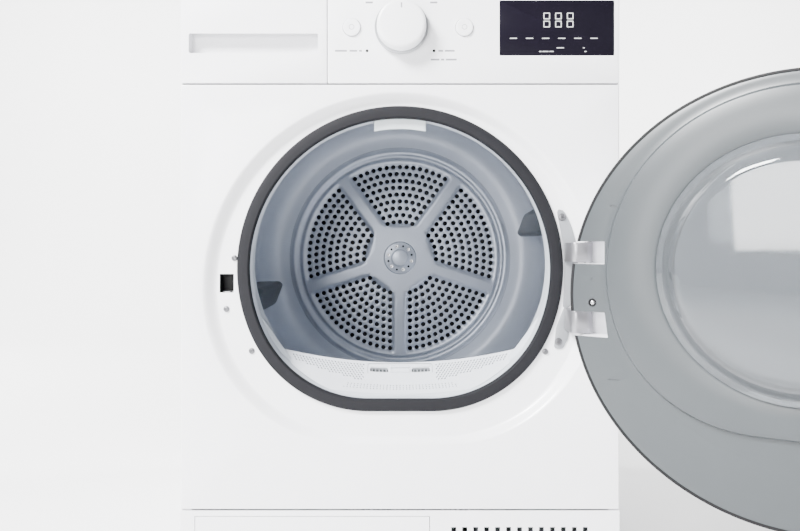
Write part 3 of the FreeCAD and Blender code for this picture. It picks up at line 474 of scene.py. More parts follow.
def make_front_panel():
    z_low = low("front_panel").z
    z_high = high("kick_panel").z + PANEL_HEIGHT
    corners = [math.atan2(z - RAY_Z, x) for x in (-HALF_W, HALF_W) for z in (z_low, z_high)]
    angles = sorted({round(k * TAU / 288 - math.pi, 6) for k in range(288)})
    for corner in corners:
        nearest = min(range(len(angles)), key=lambda k: abs(angles[k] - corner))
        angles[nearest] = corner
    rings = [ray_ring(grown(NECK_OUT, 0.0005), FLOOR_Y + 0.006, angles),
             ray_ring(grown(NECK_OUT, 0.0005), FLOOR_Y + 0.001, angles),
             ray_ring(grown(NECK_OUT, 0.0015), FLOOR_Y, angles)]
    for k in range(17):
        t = -0.02 + 0.84 * k / 16
        outline = between(DISH_IN, DISH_OUT, t)
        y = FLOOR_Y + (FRONT - FLOOR_Y) * soft_step((t + 0.02) / 0.84)
        rings.append(ray_ring(outline, y, angles))
    edge = 0.0022
    for k in range(5):
        bend = math.pi / 2 * k / 4
        inset = edge * (1 - math.sin(bend))
        depth = edge * (1 - math.cos(bend))
        rings.append(border_ring(HALF_W - inset, z_low + inset, z_high - inset, FRONT + depth, angles))
    rings.append(border_ring(HALF_W, z_low, z_high, FRONT + 0.004, angles))
    verts, faces = rings_mesh(rings)
    panel = piece("front_panel_skin", verts, faces, "painted_white", "painted_white", "cabinet", 50)
    carve_hole(panel)
    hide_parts("front_panel")


def carve_hole(panel):
    hole = rect(-0.2495, 0.4117, -0.2298, 0.4376, 0.0012, 3)
    keep = panel.data.materials[0]
    thick = panel.modifiers.new("sheet", "SOLIDIFY")
    thick.thickness = 0.001
    thick.offset = -1
    thick.use_even_offset = True
    panel.data = bpy.data.meshes.new_from_object(panel.evaluated_get(bpy.context.evaluated_depsgraph_get()))
    panel.modifiers.clear()
    carve(panel, slab(hole, "y", FLOOR_Y - 0.004, FLOOR_Y + 0.008))
    panel.data.materials.clear()
    panel.data.materials.append(keep)


make_front_panel()


# ---- seal, duct, lamp

def make_seal():
    front = FLOOR_Y - 0.006
    profile = [(0.0085, -0.2848), (0.0004, -0.2848), (0.0, -0.2852), (0.0, front + 0.0030),
               (0.0006, front + 0.0016), (0.0016, front + 0.0011), (0.0020, front + 0.0002), (0.0045, front),
               (0.0085, front), (0.0128, front + 0.0001), (0.0150, front + 0.0006), (0.0154, front + 0.0018),
               (0.0164, front + 0.0020), (0.0170, front + 0.0032), (0.0170, FLOOR_Y - 0.0002),
               (0.0085, FLOOR_Y - 0.0002), ]
    verts, faces = swept(SEAL_IN, profile)
    seal = piece("seal_lip", verts, faces, "seal_rubber", "seal_rubber", "cabinet", 40)
    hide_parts("door_seal")


def make_front_duct():
    rings = [outline_ring(grown(SEAL_IN, d), y) for d, y in ((0.0077, -0.2844), (0.0012, -0.2844),
            (0.0004, -0.2840), (0.0003, -0.2832))]
    for k in range(9):
        t = k / 8
        rings.append(outline_ring(between(DUCT_MOUTH, DUCT_END, soft_step(t)),
                                  DUCT_FRONT_Y + (DUCT_BEND_Y - DUCT_FRONT_Y) * t))
    for outline, d, y in ((DUCT_END, 0, -0.2036), (DUCT_END, 0.0008, -0.203), (DUCT_END, 0.0030, -0.203),
                          (DUCT_END, 0.0030, -0.2165), (DUCT_MOUTH, 0.0060, -0.2605),
                          (SEAL_OUT, 0.0115, -0.2605), (SEAL_OUT, 0.0115, DUCT_FRONT_Y),
                          (SEAL_IN, 0.0077, DUCT_FRONT_Y)):
        rings.append(outline_ring(grown(outline, d), y))
    verts, faces = rings_mesh(rings, loop=True)
    # The duct ring gets the lighter copy of the duct grey: painted light.
    duct = piece("duct_ring", verts, faces, "duct_light", "duct_grey", "cabinet", 35)
    carve(duct, box_mesh((-0.0364, -0.2850, 0.6300), (0.0364, -0.2220, 0.6555)))
    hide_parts("front_duct")


def make_lamp():
    steps = 24
    half = 0.0358
    top_r, low_r = 0.2010, 0.1902
    rings = []
    for y, inset, rise in ((-0.2838, 0.0012, 0.0), (-0.2830, 0.0, 0.0), (-0.2790, 0.0, 0.0020),
                           (-0.2240, 0.0, 0.0100), (-0.2225, 0.0012, 0.0100)):
        upper = []
        lower = []
        for k in range(steps + 1):
            x = (half - inset) * (2 * k / steps - 1)
            upper.append((x, y, DRUM_Z + math.sqrt((top_r + 0.004) ** 2 - x * x)))
            lower.append((x, y, DRUM_Z + math.sqrt((low_r + rise + inset) ** 2 - x * x)))
        rings.append(upper + lower[::-1])
    verts, faces = rings_mesh(rings, (True, True))
    lens = piece("lamp_window", verts, faces, "lamp_lens", "lamp_lens", "cabinet", 40)
    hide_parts("lamp_lens")


make_seal()
make_front_duct()
make_lamp()


# ---- filter duct and lint filter

SLOPE_FRONT = Vector((0, -0.263, 0.2665))
SLOPE_BACK = Vector((0, -0.216, 0.303))
TROUGH_R = 0.500
SLOPE = (SLOPE_BACK - SLOPE_FRONT).normalized()
SLOPE_UP = Vector((0, -SLOPE.z, SLOPE.y))
SLOPE_LENGTH = (SLOPE_BACK - SLOPE_FRONT).length
WELL_HALF = 0.112


def duct_outline(y):
    t = (y - DUCT_FRONT_Y) / (DUCT_BEND_Y - DUCT_FRONT_Y)
    return grown(between(DUCT_MOUTH, DUCT_END, soft_step(t)), -0.0004)


def on_slope(x, s, sink=0.0):
    """Point on the trough, s metres up the slope from its front edge."""
    lift = TROUGH_R - math.sqrt(TROUGH_R ** 2 - x * x)
    return SLOPE_FRONT + Vector((x, 0, 0)) + SLOPE * s + SLOPE_UP * (lift - sink)


def edge_x(s):
    """Where the trough meets the duct's wall, on the right."""
    def inside(x):
        point = on_slope(x, s)
        return inside_outline(duct_outline(point.y), point.x, point.z)

    return furthest(0.05, 0.25, inside)


def ring_cells(rings, loose=()):
    """2-D triangles whose sides follow every ring, and the loose points between them."""
    points = []
    edges = []
    for ring in rings:
        start = len(points)
        points += [Vector(p) for p in ring]
        edges += [(start + k, start + (k + 1) % len(ring)) for k in range(len(ring))]
    points += [Vector(p) for p in loose]
    result = delaunay_2d_cdt(points, edges, [], 1, 1e-7)
    return result[0], result[2]


def flat_cells(bounds_2d, holes):
    """Triangulates a 2-D region round its holes."""
    verts, faces = ring_cells([bounds_2d] + holes)
    centres = []
    for ring in holes:
        centre = sum((Vector(p) for p in ring), Vector((0, 0))) / len(ring)
        centres.append((centre, max((Vector(p) - centre).length for p in ring), ring))
    keep = []
    for face in faces:
        middle = sum((verts[i] for i in face), Vector((0, 0))) / 3
        if not any((middle - centre).length < far and inside_ring(middle, ring)
                   for centre, far, ring in centres):
            keep.append(tuple(face))
    return [tuple(v) for v in verts], keep


def inside_ring(point, ring):
    inside = False
    for a, b in zip(ring, ring[1:] + ring[:1]):
        if (a[1] > point.y) != (b[1] > point.y):
            if point.x < (b[0] - a[0]) * (point.y - a[1]) / (b[1] - a[1]) + a[0]:
                inside = not inside
    return inside


def slot_ring(u, v, length, width, tilt, count=8):
    """Small round-ended slot outline."""
    points = []
    for k in range(count):
        angle = TAU * (k + 0.5) / count
        du = math.cos(angle) * width / 2 + math.copysign(max(length - width, 0) / 2, math.cos(angle))
        dv = math.sin(angle) * width / 2
        points.append((u + du * math.cos(tilt) - dv * math.sin(tilt),
                       v + du * math.sin(tilt) + dv * math.cos(tilt)))
    return points


def sunk(points, depths, closed_ends=(False, False)):
    """Rings of one outline on the trough, at several depths below it."""
    return rings_mesh([[tuple(on_slope(u, v, d)) for u, v in points] for d in depths], closed_ends)


def dropped(edge, steps):
    """Strip that hangs from an open edge of the trough, by rows of (drop, y offset)."""
    width = len(edge)
    verts = [tuple(on_slope(u, v) + Vector((0, out, -drop))) for drop, out in steps for u, v in edge]
    faces = [(a * width + k, a * width + k + 1, (a + 1) * width + k + 1, (a + 1) * width + k)
             for a in range(len(steps) - 1) for k in range(width - 1)]
    return verts, faces


HANDLE_HALF = 0.0475
HANDLE_LOW = 0.0365
FIELD_TOP = SLOPE_LENGTH - 0.0045
GRIPS = (-0.0305, 0.0305)
GRIP_HALF = 0.0135
GRIP_FLOOR = 0.0046


def duct_slots():
    """Two slotted fields beside the handle and one dotted band below it."""
    rings = []
    rows = 8
    pitch = 0.0046
    for side in (-1, 1):
        for row in range(rows):
            s = FIELD_TOP - 0.0020 - row * 0.0040
            inner = HANDLE_HALF + 0.006 + (row % 2) * pitch / 2
            outer = edge_x(s) - 0.010 - max(row - 2, 0) * 0.0125
            count = int((outer - inner) / pitch)
            for k in range(count):
                x = inner + k * pitch
                rings.append(slot_ring(side * x, s, 0.0036, 0.0021, side * 0.9))
    for row in range(3):
        s = 0.0085 + row * 0.0034
        half = 0.080 - row * 0.003
        count = int(2 * half / pitch)
        for k in range(count + 1):
            x = -half + 2 * half * k / count + (row % 2) * pitch / 2
            rings.append(slot_ring(x, s, 0.0019, 0.0019, 0))
    return rings


def make_filter_duct():
    stations = [k / 14 * SLOPE_LENGTH for k in range(15)]
    rim = [(edge_x(s), s) for s in stations]
    bottom = [(-rim[0][0] + 2 * rim[0][0] * k / 40, 0) for k in range(41)]
    top = [(rim[-1][0] - 2 * rim[-1][0] * k / 40, SLOPE_LENGTH) for k in range(41)]
    bounds_2d = bottom + rim[1:-1] + top + [(-x, s) for x, s in rim[1:-1][::-1]]
    handle = rect(-HANDLE_HALF, HANDLE_LOW, HANDLE_HALF, FIELD_TOP + 0.001, 0.003, 4)
    slots = duct_slots()
    verts, faces = flat_cells(bounds_2d, [handle] + slots)
    surface = [tuple(on_slope(u, v)) for u, v in verts]
    walls = [sunk(ring, (0.0, 0.0034), (False, True)) for ring in slots]
    walls.append(sunk(handle, (0.0, 0.0050)))
    skirt = dropped(top, ((0.0, 0.0), (0.0012, 0.0004), (0.0030, 0.0005), (0.0240, 0.0005)))
    lip = dropped(bottom, ((0.0, -0.0001), (0.0012, -0.0001), (0.0060, -0.0001)))
    duct = piece("filter_housing", *joined((surface, faces), skirt, lip, *walls), "filter_white",
                 "filter_white", "cabinet", 40)
    well = box_mesh((-WELL_HALF - 0.002, -0.2512, 0.161), (WELL_HALF + 0.002, -0.2248, 0.262))
    lower = piece("filter_well", *well, "filter_white", "filter_white", "cabinet")
    carve(lower, box_mesh((-WELL_HALF, -0.249, 0.1635), (WELL_HALF, -0.227, 0.30)))
    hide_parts("filter_duct")


def make_lint_filter():
    """Frame with gauze window, and a top with two ribbed finger windows and a centre tab."""
    edge = HANDLE_HALF - 0.0006
    top_plate = rect(-edge, HANDLE_LOW + 0.0006, edge, FIELD_TOP + 0.0004, 0.003, 4)
    windows = [rect(x - GRIP_HALF, HANDLE_LOW + 0.0042, x + GRIP_HALF, HANDLE_LOW + 0.0122, 0.0028, 4)
               for x in GRIPS]
    verts, faces = flat_cells(top_plate, windows)
    parts = [([tuple(on_slope(u, v, 0.0006)) for u, v in verts], faces)]
    parts += [sunk(ring, (0.0006, GRIP_FLOOR)) for ring in [top_plate] + windows]
    for low_s, high_s, rise in ((0.0036, 0.0118, -0.0004), (0.0126, 0.0165, -0.0009)):
        tab = rect(-0.0148, HANDLE_LOW + low_s, 0.0148, HANDLE_LOW + high_s, 0.0010, 3)
        middle = HANDLE_LOW + (low_s + high_s) / 2
        dish = ((1, 0.001), (1, rise + 0.0003), (0.97, rise), (0.90, rise), (0.88, rise + 0.0008),
                (0.86, rise + 0.0008))
        parts.append(rings_mesh([[tuple(on_slope(u * g, middle + (v - middle) * g, d)) for u, v in tab]
                                 for g, d in dish], (False, True)))
    floors = [sunk(ring, (GRIP_FLOOR, GRIP_FLOOR - 0.0002), (False, True)) for ring in windows]
    ribs = []
    for x in GRIPS:
        pad = rect(x - GRIP_HALF, HANDLE_LOW + 0.0130, x + GRIP_HALF, FIELD_TOP - 0.0006, 0.0010, 3)
        parts.append(sunk(pad, (0.001, -0.0004), (False, True)))
        for k in range(5):
            u = x - 0.0104 + k * 0.0052
            rib = moved(HANDLE_LOW, [(u - 0.0008, 0.0050), (u + 0.0008, 0.0050), (u + 0.0008, 0.0114),
                                     (u - 0.0008, 0.0114)])
            ribs.append(sunk(rib, (0.0044, 0.0016), (False, True)))
    body = piece("filter_frame", *slab(rect(-0.1105, 0.166, 0.1105, 0.2745, 0.004, 4), "y", -0.2475, -0.2285,
                                       0.0008), "filter_white", "filter_white", "filter")
    carve(body, box_mesh((-0.095, -0.26, 0.180), (-0.002, -0.22, 0.262)),
          box_mesh((0.002, -0.26, 0.180), (0.095, -0.22, 0.262)))
    piece("filter_handle", *joined(*parts), "filter_white", "filter_white", "filter", 35)
    # Dark floor sheets in the finger windows: painted shade.
    piece("filter_grip_floors", *joined(*floors), "grip_grey", "filter_white", "filter", 35)
    piece("filter_grip_ribs", *joined(*ribs), "knob_rim", "filter_white", "filter", 35)
    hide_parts("lint_filter")


make_filter_duct()
make_lint_filter()


# ---- drum

DRUM_R = 0.282
BACK_Y = 0.200
BACK_R = 0.225
MOUTH_R = 0.2212
RIM_R = 0.1965
HUB_HOLE_R = 0.030
HOLE_R = 0.0044
HOLE_LIP_R = HOLE_R * 1.22
HOLE_SIDES = 14
SPOKES = tuple(270 + 72 * k for k in range(5))


def make_drum_shell():
    inner = [(MOUTH_R, -0.2138), (MOUTH_R, -0.2030)]
    for k in range(9):
        t = k / 8
        inner.append((MOUTH_R + (DRUM_R - MOUTH_R) * soft_step(t), -0.2025 + 0.044 * t))
    for k in range(1, 14):
        inner.append((DRUM_R, -0.1585 + 0.2885 * k / 13))
    for k in range(1, 17):
        bend = math.pi / 2 * k / 16
        inner.append((BACK_R + 0.0105 + (DRUM_R - BACK_R - 0.0105) * math.cos(bend) ** 0.85,
                      0.130 + (BACK_Y - 0.132) * math.sin(bend)))
    inner.append((BACK_R + 0.0005, BACK_Y - 0.0015))
    outer = [(r + 0.0011, y + (0.0008 if y > 0.13 else 0)) for r, y in inner[::-1]]
    # The wall gets the lighter copy of the drum steel: painted light.
    shell = piece("drum_wall", *lathe(0, DRUM_Z, inner + outer, 224, loop=True), "drum_wall",
                  "drum_steel", "drum", 35)
    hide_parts("drum_shell")


def spoke_raise(x, z):
    """0 on the perforated fields, 1 on the spokes, hub and rim, with a soft step between."""
    r = math.hypot(x, z)
    angle = math.atan2(z, x)
    hub = 0.0640 / math.cos((angle - math.radians(SPOKES[0])) % (TAU / 5) - math.pi / 5)
    gaps = [r - hub, 0.1955 - r]
    for spoke in SPOKES:
        s = math.radians(spoke)
        along = x * math.cos(s) + z * math.sin(s)
        across = abs(-x * math.sin(s) + z * math.cos(s))
        if along > 0:
            gaps.append(across - 0.0105)
    gap = min(gaps)
    corner = 0.008
    soft = sorted(gaps)[:2]
    if soft[0] < corner and soft[1] < corner:
        gap = corner - math.hypot(corner - soft[0], corner - soft[1])
    return 1 - soft_step(gap / 0.0065)


def rim_profile(r):
    """Height of the rim in front of the rim plane: a groove, then a bead."""
    groove = -0.0030 * math.exp(-((r - 0.2060) / 0.0042) ** 4)
    bead = 0.0016 * math.exp(-((r - 0.2165) / 0.0040) ** 2)
    return groove + bead


def back_y(x, z):
    r = math.hypot(x, z)
    lift = 0.0042 * spoke_raise(x, z)
    if r > RIM_R:
        lift = 0.0042 + rim_profile(r)
    return BACK_Y + 0.0015 - lift


def field_holes(spoke):
    """Nine staggered rows of round holes in the field after one spoke."""
    rings = []
    start = math.radians(spoke)
    for row in range(9):
        r = 0.1865 - 0.01405 * row
        count = 15 - round(row * 1.25)
        margin = 0.0205 / r
        for k in range(count):
            turn = start + margin + (TAU / 5 - 2 * margin) * k / (count - 1)
            rings.append((r * math.cos(turn), r * math.sin(turn)))
    return rings


def make_drum_back():
    """The pressed disc as a fine grid, with each hole an inset ring of its cell."""
    count = 360
    holes = [h for spoke in SPOKES for h in field_holes(spoke)]
    cell = 0.02
    buckets = {}
    for x, z in holes:
        buckets.setdefault((int(x / cell), int(z / cell)), []).append((x, z))

    def clear_of_holes(x, z, gap):
        bx, bz = int(x / cell), int(z / cell)
        near = [h for i in (-1, 0, 1) for j in (-1, 0, 1) for h in buckets.get((bx + i, bz + j), [])]
        return all(math.hypot(x - hx, z - hz) > gap for hx, hz in near)

    clear = []
    for row in range(25):
        r = 0.034 + (RIM_R - 0.034) * row / 25
        steps = max(int(TAU * r / 0.0042), 40)
        for k in range(steps):
            a = TAU * (k + 0.5 * (row % 2)) / steps
            x, z = r * math.cos(a), r * math.sin(a)
            if clear_of_holes(x, z, HOLE_LIP_R + 0.0008):
                clear.append((x, z))
    rings = [flat_circle(0, 0, RIM_R, count), flat_circle(0, 0, HUB_HOLE_R, 60)]
    rings += [flat_circle(x, z, HOLE_LIP_R, HOLE_SIDES) for x, z in holes]
    verts, faces = ring_cells(rings, clear)
    keep = []
    for face in faces:
        middle = sum((verts[i] for i in face), Vector((0, 0))) / 3
        if middle.length > HUB_HOLE_R and clear_of_holes(middle.x, middle.y, HOLE_R * 1.17):
            keep.append(tuple(face))
    parts = [([(v.x, back_y(v.x, v.y), DRUM_Z + v.y) for v in verts], keep)]
    for x, z in holes:
        y = back_y(x, z)
        lip = [(HOLE_LIP_R, 0.0), (HOLE_R * 1.08, 0.0002), (HOLE_R, 0.0009), (HOLE_R, 0.0035)]
        parts.append(rings_mesh([circle(x, DRUM_Z + z, r, y + d, HOLE_SIDES) for r, d in lip]))
    rims = [RIM_R + 0.0285 * k / 15 for k in range(16)]
    rim = [circle(0, DRUM_Z, r, back_y(r, 0), count) for r in rims]
    rim.append(circle(0, DRUM_Z, BACK_R, BACK_Y + 0.003, count))
    parts.append(rings_mesh(rim))
    disc = piece("drum_back_plate", *joined(*parts), "drum_steel", "drum_steel", "drum", 55)
    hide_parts("drum_back")


def make_hub():
    y = BACK_Y - 0.0027
    profile = moved(y, [(0, -0.0052), (0.0150, -0.0052), (0.0166, -0.0046), (0.0172, -0.0032),
                        (0.0185, -0.0026), (0.0305, -0.0026), (0.0322, -0.0020), (0.0328, -0.0004),
                        (0.0345, 0.0004), (0.0345, 0.0050), (0, 0.0050)])
    shaft = [(0, BACK_Y + 0.003), (0.060, BACK_Y + 0.003), (0.060, BACK_Y + 0.007), (0.0125, BACK_Y + 0.007),
             (0.0125, 0.2615), (0.0120, 0.262), (0, 0.262)]
    hub = piece("drum_hub_cap", *joined(lathe(0, DRUM_Z, profile, 96), lathe(0, DRUM_Z, shaft, 64)),
                "drum_steel", "drum_steel", "drum", 35)
    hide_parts("drum_hub")
    bolts = []
    pits = []
    for k in range(12):
        turn = math.radians(15 + 30 * k)
        x = 0.0245 * math.cos(turn)
        z = DRUM_Z + 0.0245 * math.sin(turn)
        if k % 2:
            head = moved(y, [(0, -0.0046), (0.0012, -0.0050), (0.0030, -0.0050), (0.0036, -0.0044),
                             (0.0037, -0.0026), (0, -0.0026)])
            bolts.append(lathe(x, z, head, 24))
            pits.append(lathe(x, z, moved(y, [(0, -0.0052), (0.0014, -0.0052), (0.0014, -0.0040),
                    (0, -0.0040)]), 12))
        else:
            pits.append(lathe(x, z, moved(y, [(0, -0.0032), (0.0021, -0.0030), (0.0023, -0.0026),
                    (0, -0.0020)]), 16))
    heads = piece("hub_bolt_heads", *joined(*bolts), "bright_steel", "bright_steel", "drum")
    # Black discs in the hub's small holes and in the bolt heads' sockets: painted shade.
    piece("hub_rivet_eyes", *joined(*pits), "black_plastic", "bright_steel", "drum")
    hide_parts("hub_bolts")


def make_lifters():
    section = [(-0.2775, -0.044), (-0.232, -0.043), (-0.226, -0.049), (-0.240, -0.086), (-0.264, -0.099)]
    section = rounded(section, 0.006, 5)
    stations = [(-0.150, 0.30), (-0.146, 0.42), (-0.135, 0.62), (-0.118, 0.82), (-0.098, 0.95), (-0.078, 1.0),
                (0.110, 1.0), (0.117, 0.985), (0.120, 0.95)]
    base = Vector((-0.2705, -0.0715))
    meshes = []
    for turn in (0, 180):
        rings = []
        for y, size in stations:
            ring = []
            for x, z in section:
                height = min(max((math.hypot(x, z) - DRUM_R) / -0.05, 0), 1)
                shrink = 1 - (1 - size) * height
                p = base + (Vector((x, z)) - base) * shrink
                ring.append((p.x, y, DRUM_Z + p.y))
            rings.append(ring)
        mesh = rings_mesh(rings, (True, True))
        meshes.append(turned_about(mesh, (0, 0, DRUM_Z), "Y", turn))
    lifters = piece("lifter_paddles", *joined(*meshes), "lifter_charcoal", "lifter_charcoal", "drum", 40)
    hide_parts("drum_lifters")


make_drum_shell()
make_drum_back()
make_hub()
make_lifters()


# ---- screws

def make_screws(name, places, head_r, y, material, slot, node):
    heads = []
    bars = ([], [])
    for k, (x, z) in enumerate(places):
        heads.append(lathe(x, z, moved(y, [(0, -0.0026), (head_r * 0.55, -0.0025), (head_r * 0.85, -0.0019),
                                           (head_r, -0.0008), (head_r, 0), (0, 0)]), 32))
        for bar, tilt in zip(bars, (25 + 37 * k, 115 + 37 * k)):
            cross = box_mesh((x - head_r * 0.55, y - 0.004, z - 0.00065),
                             (x + head_r * 0.55, y - 0.0011, z + 0.00065), 0.0001)
            bar.append(turned_about(cross, (x, y, z), "Y", tilt))
    screws = piece(name, *joined(*heads), material, slot, "cabinet", 35)
    carve(screws, joined(*bars[0]), joined(*bars[1]))
    if node:
        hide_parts(node)


PANEL_SCREWS = ((-0.229, 0.4595), (-0.240, 0.389), (-0.205, 0.331), (0.201, 0.330))
BRACKET_SCREWS = ((0.224, 0.516), (0.2187, 0.344))


# ---- hinge on the cabinet

ARMS = ((0.468, 0.026), (0.376, 0.029))
PLATE_Y = FLOOR_Y - 0.002


def make_hinge():
    count = 48
    start, stop = math.radians(-13.5), math.radians(20.5)
    rings = []
    for y, inset in ((PLATE_Y + 0.002, 0.0), (PLATE_Y + 0.0006, 0.0), (PLATE_Y, 0.0006)):
        outer = []
        inner = []
        for k in range(count + 1):
            a = start + (stop - start) * k / count
            taper = math.sin(math.pi * k / count) ** 0.35
            wide = 0.2265 + 0.0085 + 0.0110 * taper - inset
            slim = max(reach(grown(SEAL_OUT, 0.0006), OPENING_Z, a) + inset,
                       0.2272 + 0.006 * (1 - taper) + inset)
            outer.append((wide * math.cos(a), y, OPENING_Z + wide * math.sin(a)))
            inner.append((slim * math.cos(a), y, OPENING_Z + slim * math.sin(a)))
        rings.append(outer + inner[::-1])
    foot = rounded([(0.2125, 0.3345), (0.2245, 0.3335), (0.2330, 0.3500), (0.2350, 0.3900), (0.2270, 0.3920),
                    (0.2160, 0.3640)], 0.005, 5)
    plate = piece("hinge_plate", *joined(rings_mesh(rings, (True, True)),
                                         slab(foot, "y", PLATE_Y + 0.0001, PLATE_Y + 0.002, 0.0004)),
                  "hinge_plate", SLOT_OF["hinge_bracket"], "cabinet", 35)
    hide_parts("hinge_bracket")
    arms = []
    for z, height in ARMS:
        x, y = HINGE.x, HINGE.y
        path = [(x + 0.0075, y - 0.0025), (x + 0.0010, y - 0.0079), (x - 0.0215, y - 0.0062),
                (x - 0.0225, FRONT - 0.0080), (0.2268, FLOOR_Y - 0.006), (0.2268, FLOOR_Y - 0.0021),
                (0.2405, FLOOR_Y - 0.0021), (0.2405, FLOOR_Y - 0.0048), (0.2325, FLOOR_Y - 0.0060),
                (0.2310, FRONT - 0.0040), (0.2305, FRONT - 0.0240), (x - 0.0065, y + 0.0045),
                (x + 0.0010, y + 0.0079), (x + 0.0075, y + 0.0030)]
        arms.append(slab(rounded(path, 0.0085, 7), "z", z - height / 2, z + height / 2, 0.0009))
    straps = piece("hinge_straps", *joined(*arms), "hinge_metal", "hinge_metal", "cabinet", 35)
    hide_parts("hinge_arms")


make_screws("panel_screw_heads", PANEL_SCREWS, 0.0042, FLOOR_Y, "screw_steel", SLOT_OF["panel_screws"], None)
make_screws("bracket_screw_heads", BRACKET_SCREWS, 0.0052, PLATE_Y, "screw_steel",
            SLOT_OF["panel_screws"], "panel_screws")
make_hinge()


# ---- door

DOOR_R = 0.262
DOOR_BACK = FRONT - 0.003
DOOR_FACE = FRONT - 0.053
WINDOW_R = 0.196
BOWL_Z = 0.450
BOWL_R = 0.152
STEP = grown(SEAL_IN, 0.004)
POCKET_FRONT = FRONT - 0.046
PLUG = (0.233, 0.404)


def pocket_cutters():
    """The two openings that the hinge arms reach into; the lower one has a raked side."""
    cutters = []
    for (z, height), rake in zip(ARMS, (0.0, 0.0042)):
        half = height / 2 + 0.0015
        side = [(0.2172, z + half), (0.2172 - rake, z - half), (0.2700, z - half), (0.2700, z + half)]
        cutters.append(opened(slab(rounded(side, 0.0010, 3), "y", POCKET_FRONT, FRONT + 0.02)))
    return cutters


def ray_circle(circle_z, r, y, angles):
    gap = RAY_Z - circle_z
    return [on_ray(-gap * math.sin(a) + math.sqrt(r * r - (gap * math.cos(a)) ** 2), y, a) for a in angles]


def make_door_frame():
    profile = rounded([(WINDOW_R, DOOR_FACE + 0.005), (DOOR_R - 0.026, DOOR_FACE),
                       (DOOR_R - 0.008, DOOR_FACE), (DOOR_R - 0.002, DOOR_FACE + 0.003),
                       (DOOR_R, DOOR_FACE + 0.009), (DOOR_R, DOOR_BACK - 0.0042),
                       (DOOR_R - 0.0035, DOOR_BACK - 0.0042), (DOOR_R - 0.0035, DOOR_FACE + 0.0053),
                       (DOOR_R - 0.026, DOOR_FACE + 0.003), (WINDOW_R, DOOR_FACE + 0.008)], 0.003, 4)
    frame_ring = piece("door_outer_ring", *opened(lathe(0, DOOR_Z, profile, 256, loop=True)), "plastic_white",
                       SLOT_OF["door_frame"], "door", 35)
    carve(frame_ring, *pocket_cutters())
    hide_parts("door_frame")
    rim = rounded(moved(DOOR_BACK, [(DOOR_R, -0.0040), (DOOR_R, 0), (DOOR_R - 0.0036, 0),
                                    (DOOR_R - 0.0036, -0.0040)]), 0.0009, 3)
    trim = piece("door_edge_trim", *opened(lathe(0, DOOR_Z, rim, 256, loop=True)), "black_plastic",
                 SLOT_OF["door_trim"], "door", 40)
    carve(trim, *pocket_cutters())
    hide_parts("door_trim")


def make_door_liner():
    angles = [k * TAU / 256 - math.pi for k in range(256)]
    face = DOOR_BACK
    top = FLOOR_Y - 0.0065
    rings = [ray_circle(DOOR_Z, DOOR_R - 0.0038, y, angles) for y in (face - 0.0038, face - 0.0006)]
    rings.append(ray_circle(DOOR_Z, 0.2576, face - 0.0003, angles))
    for d, y in ((0.0120, face - 0.0003), (0.0050, face - 0.0002), (0.0035, face + 0.0004),
                 (0.0008, top - 0.0012), (0.0, top - 0.0003), (-0.0008, top)):
        rings.append(ray_ring(grown(STEP, d), y, angles))
    for r, y in ((BOWL_R + 0.0040, top), (BOWL_R + 0.0026, top - 0.0006), (BOWL_R + 0.0012, top - 0.0008),
                 (BOWL_R + 0.0004, top - 0.0014), (BOWL_R + 0.0004, top - 0.0040),
                 (BOWL_R + 0.0030, top - 0.0045)):
        rings.append(ray_circle(BOWL_Z, r, y, angles))
    rings.append(ray_circle(DOOR_Z, DOOR_R - 0.0045, face - 0.0042, angles))
    liner = piece("door_inner_liner", *opened(rings_mesh(rings, loop=True)), "gloss_liner",
                  SLOT_OF["door_liner"], "door", 35)
    plug_hole = lathe(*PLUG, moved(face, [(0, -0.0018), (0.0052, -0.0018), (0.0052, 0.002), (0, 0.002)]), 40)
    slit = slab(rounded([(0.2015, 0.5240), (0.2100, 0.5262), (0.2095, 0.5290), (0.2010, 0.5270)], 0.0012, 4),
                "y", face - 0.0012, face + 0.002)
    line = box_mesh((0.1985, face - 0.0010, 0.3072), (0.2125, face + 0.002, 0.3080), 0.0002)
    notch = slab(rect(0.2315, 0.4325, 0.2345, 0.4365, 0.0008, 3), "y", face - 0.0010, face + 0.002)
    carve(liner, *pocket_cutters(), *(opened(m) for m in (plug_hole, slit, line, notch)))
    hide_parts("door_liner")
    ring = lathe(*PLUG, moved(face, [(0.0034, -0.0016), (0.0036, 0.0003), (0.0042, 0.0007), (0.0047, 0.0007),
                                     (0.0051, 0.0001), (0.0051, -0.0016)]), 40)
    piece("liner_plug_ring", *opened(ring), "black_plastic", SLOT_OF["door_liner"], "door")
    dome = lathe(*PLUG, moved(face, [(0, 0.0005), (0.0012, 0.0004), (0.0026, -0.0002), (0.0034, -0.0012)]),
                 32)
    piece("liner_plug", *opened(dome), "bright_steel", SLOT_OF["door_liner"], "door")


def make_hinge_block():
    body = slab(rounded([(0.2085, 0.3485), (0.2480, 0.3485), (0.2560, 0.4000), (0.2575, 0.4150),
                         (0.2560, 0.4450), (0.2440, 0.4955), (0.2085, 0.4955)], 0.003, 4), "y",
                POCKET_FRONT - 0.0007, DOOR_BACK - 0.0043, 0.0008)
    block = piece("hinge_pocket_block", *opened(body), "bare_steel_bright",
                  SLOT_OF["hinge_block"], "door", 35)
    carve(block, *pocket_cutters())
    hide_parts("hinge_block")


